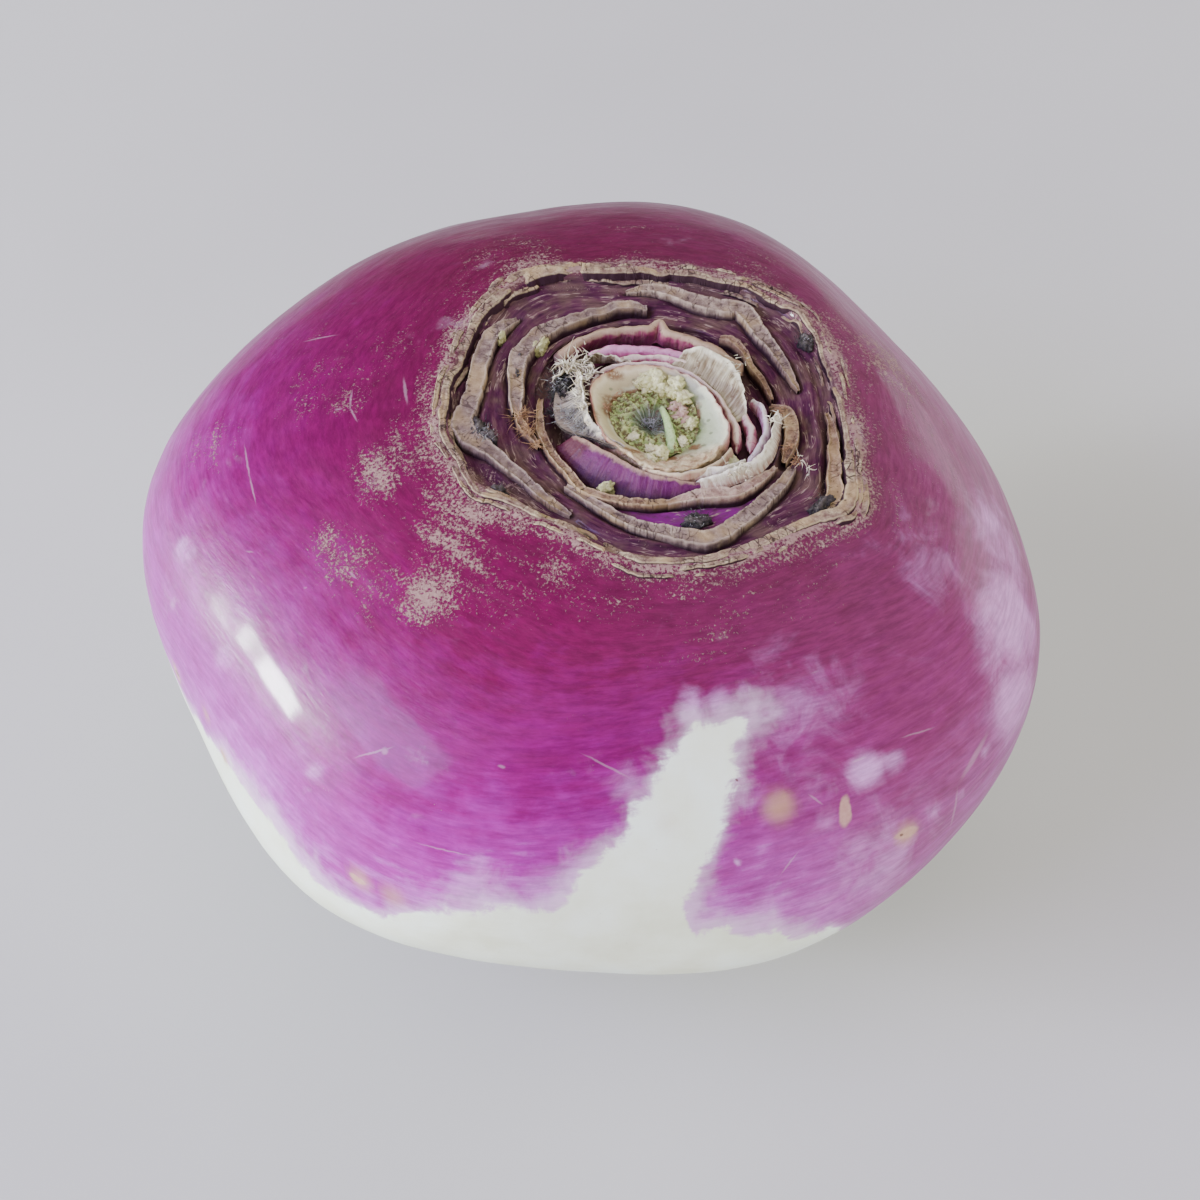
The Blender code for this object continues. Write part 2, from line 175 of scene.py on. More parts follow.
# How large the bays of the white's edge are, and how far it wanders, at the belly and at the streak
SHORE_LUMP = 0.006
BELLY_WANDER_MM = 1.6
STREAK_WANDER_MM = 0.7
# Soft patches on the skin: pixel, half width in millimetres, and strength
# The lilac patches are partly the skin's own lilac and partly painted reflection: the pale veil along the
# right edge and the pink glow beside the window's highlight on the left
LILAC_AND_SHEEN_PATCHES = (
    ((866, 770), 2.4, 0.9), ((895, 762), 1.5, 0.6), ((985, 752), 1.0, 0.8), ((962, 795), 0.9, 0.6),
    ((879, 848), 1.8, 0.4), ((932, 811), 2.0, 0.4), ((738, 861), 0.5, 1.0), ((722, 861), 0.5, 0.8),
    ((766, 910), 2.4, 0.5), ((829, 820), 1.6, 0.4), ((316, 776), 1.8, 0.4), ((170, 600), 2.8, 0.4),
    ((184, 552), 2.2, 0.5), ((226, 660), 2.2, 0.5), ((690, 706), 2.0, 0.6), ((718, 700), 1.6, 0.6),
    ((745, 688), 1.1, 0.5), ((770, 676), 0.8, 0.5), ((790, 664), 0.6, 0.4),
    ((560, 890), 4.2, 0.6), ((480, 885), 3.6, 0.6), ((1010, 620), 7.0, 0.9), ((1000, 540), 6.0, 0.7),
    ((1015, 700), 6.0, 0.8), ((880, 860), 8.0, 0.5), ((800, 720), 8.0, 0.4), ((640, 790), 3.0, 0.5),
    ((930, 560), 6.0, 0.4), ((760, 800), 3.0, 0.4),
)
TAN_PATCHES = (
    ((779, 807), 1.6, 0.9), ((783, 800), 0.8, 0.9), ((907, 834), 1.3, 1.0), ((360, 879), 1.3, 0.8),
    ((393, 896), 1.4, 0.6), ((208, 714), 0.8, 0.7), ((666, 823), 1.2, 0.25), ((177, 672), 1.2, 0.7),
    ((226, 756), 0.9, 0.8),
)
DUST_PATCHES = (
    ((382, 471), 3.0, 1.0), ((360, 480), 1.6, 0.8), ((452, 532), 3.6, 0.9), ((434, 586), 2.6, 1.0),
    ((470, 496), 4.4, 0.9), ((462, 562), 3.6, 0.8), ((416, 604), 2.2, 0.9), ((346, 562), 2.5, 0.75),
    ((378, 592), 2.4, 0.75), ((330, 540), 1.8, 0.75), ((880, 355), 4.0, 0.8), ((904, 388), 2.4, 0.7),
    ((530, 262), 3.4, 0.7), ((700, 604), 4.4, 0.5), ((560, 556), 4.0, 0.65), ((624, 590), 3.4, 0.55),
    ((800, 562), 3.6, 0.5), ((336, 396), 3.4, 0.4), ((300, 344), 3.4, 0.4), ((408, 440), 2.4, 0.6),
    ((470, 560), 1.6, 0.6), ((330, 540), 0.9, 0.9), ((352, 566), 1.2, 0.9), ((384, 590), 1.4, 0.8),
    ((412, 612), 0.9, 0.8), ((346, 405), 1.4, 0.7), ((340, 380), 5.0, 0.5), ((380, 350), 4.0, 0.4),
    ((212, 446), 3.0, 0.6), ((540, 560), 6.0, 0.55), ((600, 575), 5.0, 0.5), ((830, 320), 3.0, 0.6),
    ((870, 350), 3.5, 0.6), ((905, 385), 2.5, 0.5), ((717, 636), 2.6, 0.5), ((780, 560), 5.0, 0.35),
    ((880, 480), 4.0, 0.45), ((920, 440), 6.0, 0.4), ((500, 250), 4.0, 0.5), ((450, 300), 3.0, 0.5),
    ((640, 240), 5.0, 0.3), ((760, 260), 4.0, 0.45),
)
# Small marks with clear edges: the pixels of both ends, and half width in millimetres
SCRATCHES = (
    ((245, 448), (250, 478), 0.10), ((250, 478), (256, 502), 0.09), ((306, 341), (335, 335), 0.11),
    ((404, 380), (407, 402), 0.16), ((352, 391), (350, 408), 0.12), ((350, 408), (357, 421), 0.10),
    ((358, 757), (390, 748), 0.10), ((383, 752), (388, 750), 0.32), ((421, 844), (467, 855), 0.07),
    ((498, 766), (505, 767), 0.14), ((587, 756), (626, 776), 0.10), ((904, 737), (932, 728), 0.09),
    ((810, 795), (822, 804), 0.10), ((782, 873), (797, 853), 0.09), ((248, 552), (256, 553), 0.13),
    ((259, 557), (262, 559), 0.12), ((304, 589), (308, 588), 0.12), ((273, 820), (319, 864), 0.10),
    ((963, 776), (985, 737), 0.42), ((951, 826), (957, 792), 0.16), ((335, 410), (342, 409), 0.14),
)
SCABS = (
    ((846, 797), (845, 827), 0.62), ((896, 838), (918, 829), 0.60), ((174, 664), (181, 682), 0.62),
    ((222, 748), (229, 764), 0.40), ((350, 874), (366, 884), 0.42),
)
DARK_DOTS = (((176, 670), (180, 676), 0.25), ((735, 779), (738, 781), 0.12), ((900, 836), (904, 835), 0.16))

# Corky leaf scars: x, y and half width
OUTER_TOP_MM = 58.5
INNER_TOP_MM = 58.7
GREY_SCARS = {
    "scar_outer_left": (OUTER_TOP_MM, (
        (-13.5, 13.4, 0.25), (-15.2, 11.7, 0.75), (-16.5, 9.5, 0.85), (-17.1, 6.6, 0.9), (-17.5, 3.8, 0.9),
        (-18.0, 1.0, 0.95), (-18.6, -1.5, 1.05), (-17.8, -3.7, 1.1), (-16.3, -5.0, 0.85), (-14.7, -6.6, 0.7),
        (-12.9, -8.6, 0.6), (-11.0, -10.7, 0.5), (-9.2, -12.5, 0.4), (-7.8, -13.5, 0.2),
    )),
    "scar_outer_back": (OUTER_TOP_MM, (
        (-2.3, 17.4, 0.2), (0.1, 17.7, 0.6), (2.4, 17.1, 0.7), (4.7, 15.9, 0.85), (7.3, 15.0, 0.95),
        (9.8, 14.4, 0.95), (11.3, 11.3, 0.8), (12.7, 8.7, 0.6), (14.0, 5.9, 0.45), (15.0, 3.1, 0.15),
    )),
    "scar_outer_front": (OUTER_TOP_MM, (
        (-8.3, -9.8, 0.25), (-5.9, -11.8, 0.4), (-3.3, -13.9, 0.5), (-1.0, -15.3, 0.6), (1.3, -16.0, 0.75),
        (3.2, -16.5, 0.85), (5.1, -16.8, 0.9), (6.8, -16.0, 0.9), (8.7, -14.4, 0.85), (10.8, -12.1, 0.75),
        (12.5, -10.0, 0.6), (13.8, -7.5, 0.35),
    )),
    "scar_inner_left": (INNER_TOP_MM, (
        (-0.1, 14.8, 0.4), (-2.7, 14.8, 0.55), (-5.6, 13.8, 0.6), (-8.9, 12.2, 0.7), (-11.2, 10.7, 0.85),
        (-12.8, 8.2, 0.95), (-13.4, 6.1, 0.9), (-13.4, 3.9, 0.8), (-13.4, 1.3, 0.7), (-13.3, -0.4, 0.45),
    )),
}
TAN_SCARS = {
    "scar_outer_right": (OUTER_TOP_MM, (
        (17.7, 0.0, 0.2), (18.0, -3.1, 0.45), (17.9, -6.1, 0.6), (17.7, -8.4, 0.7), (17.7, -10.9, 0.85),
        (17.0, -13.0, 0.5),
    )),
    "scar_inner_strip": (INNER_TOP_MM, (
        (-10.9, 1.7, 0.25), (-11.0, -1.8, 0.4), (-10.3, -4.6, 0.4), (-8.6, -7.5, 0.42), (-6.8, -10.3, 0.42),
        (-4.9, -11.4, 0.42), (-2.5, -12.1, 0.42), (-0.2, -12.3, 0.4), (1.8, -12.1, 0.25),
    )),
    "scar_inner_right": (INNER_TOP_MM, (
        (12.0, 0.7, 0.25), (13.5, -0.4, 0.6), (14.0, -2.6, 0.7), (13.6, -5.1, 0.6), (12.9, -6.9, 0.25),
    )),
    "scar_inner_back": (INNER_TOP_MM, (
        (7.3, 10.5, 0.2), (8.5, 10.0, 0.42), (9.7, 8.4, 0.35), (10.3, 6.6, 0.3), (11.5, 4.1, 0.25),
        (12.3, 1.7, 0.15),
    )),
    "scar_frayed": (INNER_TOP_MM, (
        (-13.3, -0.2, 0.3), (-12.8, -1.8, 0.4), (-11.8, -3.4, 0.3), (-11.0, -4.6, 0.1),
    )),
}
PINK_SCARS = {
    "scar_inner_front": (INNER_TOP_MM, (
        (1.4, -12.2, 0.3), (4.1, -11.6, 0.6), (6.5, -11.3, 0.68), (8.1, -11.1, 0.65), (10.2, -9.6, 0.5),
        (12.2, -7.5, 0.2),
    )),
}
# Section of a scar: share of the half width out, and share of the height up. The edges stand up a little
SCAR_SECTION = (
    (-1.25, -0.2), (-1.08, 0.35), (-1.02, 0.8), (-0.97, 1.02), (-0.88, 1.08), (-0.76, 0.98), (-0.60, 0.92),
    (-0.42, 0.90), (-0.22, 0.90), (0.0, 0.91), (0.22, 0.90), (0.42, 0.90), (0.60, 0.92), (0.76, 0.98),
    (0.88, 1.08), (0.97, 1.02), (1.02, 0.8), (1.08, 0.35), (1.25, -0.2),
)
SCAR_RISE_MM = 1.15
SCAR_WOBBLE_MM = 0.16
SCAR_WAVE_MM = 0.12
SCAR_TIP_DROP_MM = 0.5
SCAR_TIP_HALF_MM = (0.2, 0.7)
CORK_LUMP_MM = 0.9
CORK_LUMP_RISE_MM = 0.10
CORK_CRACK_DEPTH_MM = 0.08
CORK_WANDER_MM = 0.06
# Where the ground between the scars is bright violet: x, y and half width
VIOLET_GROUND = (
    (-5.0, -12.2, 0.2), (-1.5, -13.5, 0.9), (3.0, -13.7, 1.2), (7.0, -13.2, 1.1), (10.5, -11.2, 0.4),
)

# The corky rim. Its path: degrees and distance out. Its half width: degrees and millimetres. Its strands: how
# far outside the path each runs, its share of the half width and how much of it shows. And their section
RIM_PATH_MM = (
    (186, 20.7), (171, 20.6), (162, 20.4), (152, 21.0), (143, 21.8), (134, 22.4), (126, 22.7), (118, 22.3),
    (109, 21.1), (98, 20.0), (90, 19.9), (77, 19.9), (68, 20.0), (60, 20.2), (52, 20.1), (42, 20.5),
    (36, 20.2), (26, 19.4), (12, 18.7), (356, 19.1), (342, 20.3), (330, 22.1), (324, 22.7), (319, 21.9),
    (311, 20.8), (301, 20.3), (292, 20.2), (283, 20.3), (270, 20.0), (264, 19.6), (258, 18.7), (251, 17.8),
    (242, 17.6), (233, 17.9), (221, 18.7), (216, 19.8), (210, 20.2), (203, 20.0), (197, 20.3), (191, 20.8),
)
RIM_HALF_MM = (
    (0, 0.30), (40, 0.35), (75, 0.5), (105, 0.7), (126, 1.05), (145, 0.7), (180, 0.5), (215, 0.45),
    (245, 0.5), (280, 0.5), (312, 0.8), (324, 1.1), (333, 0.8), (345, 0.4),
)
RIM_STRANDS = {
    "cork_rim": (0.0, 0.78, 0.40),
    "cork_rim_inner": (-0.75, 0.50, 0.15),
    "cork_rim_outer": (0.90, 0.50, 0.10),
    "cork_rim_far": (1.60, 0.40, -0.08),
}
RIM_SECTION = (
    (-1.5, -2.6), (-1.25, -1.1), (-1.05, -0.1), (-0.92, 0.6), (-0.75, 0.92), (-0.52, 1.0), (-0.28, 0.93),
    (-0.08, 0.84), (0.12, 0.88), (0.34, 0.98), (0.56, 0.94), (0.76, 0.70), (0.92, 0.32), (1.06, -0.2),
    (1.25, -1.1), (1.5, -2.6),
)
RIM_RISE_MM = 0.26
RIM_SINK_MM = 0.55
RIM_WOBBLE_MM = 0.26

# Sleeping buds: x, y, half length, half width and the way they point in degrees
DARK_BUDS = (
    (-17.2, -2.2, 1.2, 0.75, 80), (-16.1, -3.7, 1.1, 0.75, -55), (-14.9, -10.8, 0.9, 0.6, -20),
    (4.2, -14.5, 1.25, 0.75, 8), (16.3, 9.8, 1.2, 0.8, -60), (16.3, -12.6, 1.3, 0.75, 35),
    (-8.6, 4.2, 1.3, 0.8, 70), (-8.9, 2.4, 1.1, 0.8, -80), (-13.3, 4.9, 0.55, 0.35, 80),
    (-13.2, 7.5, 0.35, 0.25, 60),
)
GREEN_BUDS = (
    (-4.4, -10.3, 0.85, 0.65, 20), (7.8, -7.4, 0.95, 0.75, 60), (-11.1, 9.2, 1.1, 0.6, 60),
    (-15.1, 10.3, 0.6, 0.35, 55),
)
BUD_Z_MM = 57.9
BUD_HALF_UP_MM = 0.9

# The cup of cut stalk: its rim and its hole, as two outlines
CUP_MIDDLE = (1.0, -2.6)
CUP_RIM = (
    (-5.9, 1.4), (-4.4, 3.6), (-2.3, 4.5), (0.2, 4.5), (2.4, 3.9), (4.5, 2.6), (6.1, 0.2), (7.3, -2.6),
    (7.6, -4.6), (7.0, -6.3), (5.6, -8.0), (3.4, -9.2), (1.2, -9.5), (-0.7, -8.8), (-2.2, -7.4),
    (-3.9, -5.9), (-5.0, -4.1), (-5.6, -2.0),
)
CUP_HOLE = (
    (-3.2, 1.1), (-0.7, 2.4), (1.9, 2.6), (3.5, 1.3), (4.4, -0.7), (4.5, -3.1), (3.4, -5.4), (1.7, -6.4),
    (-0.1, -6.1), (-1.9, -4.9), (-3.3, -3.2), (-3.9, -0.9),
)
# Brown stains on the cup: x, y and half sizes
CUP_STAINS = (
    (-3.3, 1.0, 0.9, 0.34), (-1.7, 2.0, 0.8, 0.30), (-0.6, 2.0, 0.7, 0.34), (-4.2, -0.4, 0.34, 0.8),
    (-3.6, 3.6, 0.55, 0.35), (-5.6, -2.8, 0.3, 1.0), (4.6, -0.9, 0.3, 0.9), (1.6, -6.9, 0.9, 0.25),
    (4.3, -5.6, 0.6, 0.3), (-1.9, -6.4, 0.6, 0.3),
)
CUP_RIM_Z = 60.0
CUP_HOLE_Z = 58.6
CUP_WAVE_MM = 0.14
CUP_EAST_MM = (0.5, 5.0)
CUP_FRONT_MM = (5.4, 7.4)
CUP_STAIN_SPREAD = 1.5
CUP_STAIN_Z = (59.4, 2.4)
CUP_VEIN_Z = (59.2, 1.2)
CUP_VEIN_HALF_MM = (0.20, 0.16)
CUP_SEGMENTS = 260
# From the foot of the cup's outer wall, over its rim and down its inside: share of the way out from hole to
# rim, and share of the way up
CUP_SECTION = (
    (0.98, -1.25), (1.0, -0.7), (1.01, 0.0), (1.02, 0.45), (1.03, 0.75), (1.04, 0.92), (1.02, 1.04),
    (0.98, 1.08), (0.94, 1.02), (0.90, 0.94), (0.85, 0.86), (0.80, 0.79), (0.74, 0.72), (0.68, 0.65),
    (0.61, 0.58), (0.54, 0.51), (0.47, 0.44), (0.40, 0.37), (0.33, 0.30), (0.26, 0.22), (0.19, 0.14),
    (0.12, 0.05), (0.06, -0.02), (0.0, -0.12), (-0.05, -0.30), (-0.09, -0.50), (-0.14, -0.70), (-0.2, -0.85),
)
VEIN_DOTS = (
    (4.9, -0.3), (5.7, -2.2), (5.9, -4.0), (5.1, -5.6), (3.9, -7.0), (2.3, -7.9), (0.3, -7.9), (3.6, 1.7),
    (1.3, 3.5), (-1.6, 3.3), (-3.9, 2.1),
)
# The growing point: a low crumbled heap in the hole, with a pit, one smooth ridge and pale crumbs
HEART_FLOOR_Z = 57.5
HEART_PIT = (-0.1, -1.6)
HEART_RINGS = 46
HEART_SEGMENTS = 180
HEART_OVERLAP = 1.04
HEART_HEAP_MM = 0.95
HEART_CRUMB_MM = 0.60
HEART_LEAF_MM = 0.30
HEART_FIBRE_MM = 0.22
HEART_TALL_MM = 1.6
HEART_RIDGE = ((1.2, -0.1, 58.7), (1.5, -1.4, 59.1), (1.8, -2.9, 59.1), (2.0, -4.3, 58.9), (2.1, -5.6, 58.6))
CRUMBS = (
    (-0.4, 3.4, 59.5, 1.1), (0.6, 3.2, 59.6, 1.6), (1.3, 2.2, 59.3, 1.4), (-0.2, 2.4, 59.0, 0.9),
    (2.5, 2.2, 59.7, 1.5), (3.2, 0.9, 59.4, 1.2), (4.0, -2.4, 58.9, 0.9), (3.2, -4.6, 58.8, 0.9),
    (0.2, -5.8, 58.8, 1.0), (0.9, -6.7, 59.2, 1.3), (0.0, -7.4, 59.4, 1.0), (-1.6, -3.9, 58.5, 1.1),
    (-2.7, -1.8, 58.5, 0.7), (-1.2, 2.9, 59.3, 0.7),
)
PINK_CRUMBS = ((2.6, 0.2, 58.8, 1.0), (3.2, -0.7, 58.8, 1.0), (2.7, -1.4, 58.6, 0.9), (3.5, -1.7, 58.8, 0.7))
# How uneven the lumps are, as a share of their half sizes
RIDGE_UNEVEN = 0.16
CRUMB_UNEVEN = 0.75
BUD_UNEVEN = 0.70

# Thin walls of stalk and dried leaf base. Each has a foot line and a top line of x, y, z; its thickness; how
# far it folds and how ragged its top is. Some have a small tip that sticks out, given by its share of the way
# along and its reach, or sag between foot and top
WALLS = {
    "violet_wall": dict(
        foot=((-9.4, -4.2, 57.6), (-8.4, -6.6, 57.4), (-6.5, -8.8, 57.3), (-4.0, -10.4, 57.3),
              (-1.1, -11.4, 57.3), (2.4, -11.5, 57.4), (5.6, -11.0, 57.6)),
        top=((-7.7, -4.2, 59.4), (-6.3, -5.4, 59.8), (-4.6, -6.8, 60.0), (-2.7, -8.3, 59.9),
             (-0.5, -9.6, 59.8), (2.7, -10.3, 59.5), (5.4, -10.2, 58.9)),
        thick=0.5, fold=0.12, ragged=0.25, slot="stalk", paint="violet", replaces="stalk_stub_front",
    ),
    "cup_layer_front": dict(
        foot=((-1.4, -8.9, 58.0), (1.4, -10.2, 58.0), (4.2, -10.0, 58.0), (6.6, -8.6, 58.0),
              (8.2, -6.2, 58.0)),
        top=((-1.2, -8.8, 59.9), (1.4, -9.8, 60.0), (4.0, -9.6, 60.0), (6.3, -8.2, 59.9), (7.9, -5.8, 59.7)),
        thick=0.55, fold=0.16, ragged=0.35, slot="stalk", paint="tan_edge",
    ),
    "pink_fold_near": dict(
        foot=((-6.3, 2.2, 57.6), (-4.9, 4.5, 57.6), (-2.3, 5.5, 57.6), (0.8, 5.4, 57.6), (3.3, 4.5, 57.6),
              (5.4, 2.9, 57.6), (7.2, 0.2, 57.6), (8.4, -3.2, 57.6), (8.5, -5.6, 57.8)),
        top=((-6.2, 2.1, 59.5), (-4.8, 4.4, 59.7), (-2.3, 5.3, 59.8), (0.8, 5.2, 59.9), (3.2, 4.4, 59.9),
             (5.2, 2.8, 59.9), (7.0, 0.2, 59.8), (8.2, -3.0, 59.6), (8.3, -5.6, 59.1)),
        thick=0.95, fold=0.18, ragged=0.3, slot="stalk", paint="pink", replaces="stalk_stub_back",
    ),
    "pink_fold_far": dict(
        foot=((-3.8, 6.6, 57.6), (-1.4, 6.9, 57.6), (1.6, 6.5, 57.6), (4.3, 5.4, 57.6), (6.7, 3.4, 57.6),
              (8.6, 0.6, 57.6), (9.9, -2.8, 57.7), (9.9, -5.6, 57.8)),
        top=((-3.6, 6.4, 59.0), (-1.4, 6.7, 59.5), (1.6, 6.3, 59.6), (4.2, 5.2, 59.6), (6.5, 3.3, 59.5),
             (8.4, 0.5, 59.3), (9.6, -2.8, 59.1), (9.7, -5.6, 58.8)),
        thick=1.15, fold=0.24, ragged=0.35, slot="stalk", paint="pink",
    ),
    "magenta_lobe": dict(
        foot=((-6.6, 7.6, 57.5), (-4.0, 8.4, 57.5), (-1.0, 8.3, 57.5), (2.2, 7.8, 57.5), (5.4, 6.3, 57.5),
              (8.0, 3.8, 57.5)),
        top=((-6.3, 7.4, 58.6), (-4.0, 8.0, 59.1), (-1.0, 7.9, 59.3), (2.2, 7.4, 59.3), (5.3, 6.0, 59.1),
             (7.8, 3.6, 58.8)),
        thick=1.5, fold=0.22, ragged=0.25, slot="stalk", paint="magenta",
    ),
    "lilac_sheath": dict(
        foot=((10.2, 1.4, 57.7), (11.2, -0.8, 57.6), (11.5, -3.2, 57.6), (10.9, -5.6, 57.6),
              (9.4, -7.6, 57.8)),
        top=((10.0, 1.4, 58.9), (11.0, -0.8, 59.5), (11.2, -3.2, 59.6), (10.6, -5.4, 59.4),
             (9.2, -7.3, 59.0)),
        thick=0.85, fold=0.15, ragged=0.35, slot="stalk", paint="lilac",
    ),
    "brown_sheath": dict(
        foot=((-9.6, 7.2, 57.4), (-8.2, 9.2, 57.3), (-5.6, 10.7, 57.2), (-2.4, 11.3, 57.2), (1.2, 11.1, 57.2),
              (4.4, 9.9, 57.3), (7.4, 8.0, 57.4), (9.6, 5.6, 57.5)),
        top=((-8.6, 7.3, 58.5), (-7.2, 8.9, 59.1), (-5.0, 10.1, 59.3), (-2.2, 10.6, 59.4), (1.2, 10.4, 59.4),
             (4.2, 9.2, 59.3), (7.1, 7.4, 59.1), (9.3, 5.2, 58.6)),
        thick=1.5, fold=0.14, ragged=0.2, slot="stalk", paint="brown", replaces="stalk_stub_outer_back",
        tip=(0.56, 1.5),
    ),
    "papery_spoon_left": dict(
        foot=((-9.5, 2.2, 58.8), (-9.6, -0.6, 58.8), (-9.0, -2.8, 58.9), (-7.7, -4.2, 59.3),
              (-5.6, -5.3, 59.7), (-3.3, -6.5, 59.9)),
        top=((-6.8, 2.6, 60.3), (-6.5, 0.6, 60.4), (-6.3, -1.2, 60.3), (-5.8, -3.0, 60.3), (-4.6, -4.6, 60.2),
             (-2.6, -6.3, 60.1)),
        thick=0.22, fold=0.30, ragged=0.35, slot="papery", paint="weathered", sag=0.75,
    ),
    "papery_rim_left": dict(
        foot=((-7.5, 4.0, 58.6), (-7.2, 1.8, 58.6), (-6.8, -0.8, 58.8), (-6.4, -3.0, 58.9),
              (-5.0, -5.0, 59.0), (-2.7, -6.7, 59.3)),
        top=((-7.0, 3.8, 60.7), (-6.6, 1.4, 60.9), (-6.2, -1.0, 60.7), (-5.8, -3.0, 60.5), (-4.6, -4.8, 60.3),
             (-2.4, -6.4, 60.1)),
        thick=0.20, fold=0.55, ragged=0.95, slot="papery", paint="pale_dry", replaces="dry_base_left",
    ),
    "papery_crumple_left": dict(
        foot=((-8.8, 5.2, 58.3), (-6.4, 6.5, 58.3), (-3.9, 6.6, 58.4), (-1.8, 5.6, 58.6)),
        top=((-8.4, 5.2, 60.0), (-6.2, 6.0, 60.5), (-3.8, 6.0, 60.4), (-1.8, 5.2, 60.1)),
        thick=0.22, fold=0.65, ragged=0.8, slot="papery", paint="dry",
    ),
    "papery_curl_left": dict(
        foot=((-9.8, 3.6, 58.5), (-8.2, 4.9, 58.6), (-6.0, 4.7, 58.8), (-4.6, 3.9, 59.2)),
        top=((-9.7, 3.8, 59.8), (-8.0, 4.6, 60.6), (-6.0, 4.2, 60.8), (-4.7, 3.4, 60.4)),
        thick=0.20, fold=0.60, ragged=1.0, slot="papery", paint="pale_dry",
    ),
    "papery_flake_back": dict(
        foot=((1.9, 5.3, 59.3), (4.0, 4.3, 59.3), (6.0, 2.5, 59.2), (7.5, 0.2, 59.0), (8.3, -2.2, 58.8)),
        top=((2.9, 6.9, 60.2), (5.2, 6.7, 60.9), (7.5, 5.0, 61.0), (9.0, 2.3, 60.8), (9.6, -1.4, 60.1)),
        thick=0.24, fold=0.50, ragged=0.8, slot="papery", paint="dry", replaces="dry_base_back", sag=0.25,
    ),
    "papery_shred_right": dict(
        foot=((13.1, -0.6, 58.3), (12.7, -3.4, 58.2), (11.9, -6.2, 58.2), (10.5, -8.4, 58.2),
              (7.6, -10.2, 58.3), (4.4, -10.9, 58.6)),
        top=((12.7, -0.8, 60.0), (12.0, -3.5, 60.3), (11.2, -6.1, 60.3), (9.8, -8.0, 60.3), (7.0, -9.5, 60.1),
             (4.3, -10.1, 59.5)),
        thick=0.30, fold=0.50, ragged=0.8, slot="papery", paint="white_dry", replaces="dry_base_right",
    ),
    "papery_shred_inner": dict(
        foot=((9.6, -8.2, 58.6), (7.2, -9.4, 58.6), (4.6, -9.9, 58.8), (2.4, -9.9, 59.0)),
        top=((9.3, -7.6, 59.9), (6.9, -8.8, 60.1), (4.5, -9.3, 60.0), (2.2, -9.4, 59.8)),
        thick=0.24, fold=0.45, ragged=0.6, slot="papery", paint="white_dry",
    ),
}
WALL_STEP_MM = 0.13
WALL_ROWS = 16
# Colours at the foot, on the outer side, at the edge, in the stains and on the inner side; how strong the
# grain is; and where one has it, the colour of the left end
WALL_COLOURS = {
    "violet": (
        (0.035, 0.002, 0.024), (0.095, 0.005, 0.070), (0.30, 0.19, 0.13), (0.05, 0.004, 0.035),
        (0.26, 0.13, 0.11), 0.10, (0.065, 0.004, 0.018),
    ),
    "tan_edge": (
        (0.10, 0.03, 0.06), (0.34, 0.20, 0.14), (0.56, 0.45, 0.29), (0.20, 0.09, 0.05), (0.50, 0.42, 0.26),
        0.5,
    ),
    "pink": (
        (0.20, 0.02, 0.07), (0.42, 0.13, 0.18), (0.64, 0.52, 0.42), (0.28, 0.07, 0.10), (0.36, 0.09, 0.15),
        0.5,
    ),
    "magenta": (
        (0.10, 0.01, 0.05), (0.26, 0.035, 0.13), (0.50, 0.22, 0.34), (0.20, 0.02, 0.10), (0.34, 0.07, 0.18),
        0.4,
    ),
    "lilac": (
        (0.25, 0.06, 0.12), (0.48, 0.34, 0.42), (0.66, 0.60, 0.58), (0.34, 0.12, 0.16), (0.40, 0.16, 0.24),
        0.5,
    ),
    "brown": (
        (0.10, 0.05, 0.05), (0.26, 0.16, 0.10), (0.36, 0.25, 0.16), (0.12, 0.055, 0.045), (0.24, 0.03, 0.09),
        0.4,
    ),
    "dry": (
        (0.16, 0.10, 0.06), (0.34, 0.27, 0.16), (0.58, 0.55, 0.40), (0.12, 0.065, 0.03), (0.24, 0.19, 0.11),
        0.7,
    ),
    "weathered": (
        (0.24, 0.18, 0.14), (0.075, 0.062, 0.050), (0.46, 0.41, 0.32), (0.022, 0.019, 0.016),
        (0.14, 0.11, 0.085), 0.8,
    ),
    "pale_dry": (
        (0.30, 0.22, 0.13), (0.52, 0.44, 0.29), (0.74, 0.70, 0.54), (0.05, 0.04, 0.03), (0.44, 0.36, 0.24),
        0.6,
    ),
    "white_dry": (
        (0.28, 0.16, 0.12), (0.55, 0.50, 0.40), (0.74, 0.71, 0.58), (0.30, 0.18, 0.10), (0.50, 0.42, 0.32),
        0.6,
    ),
}

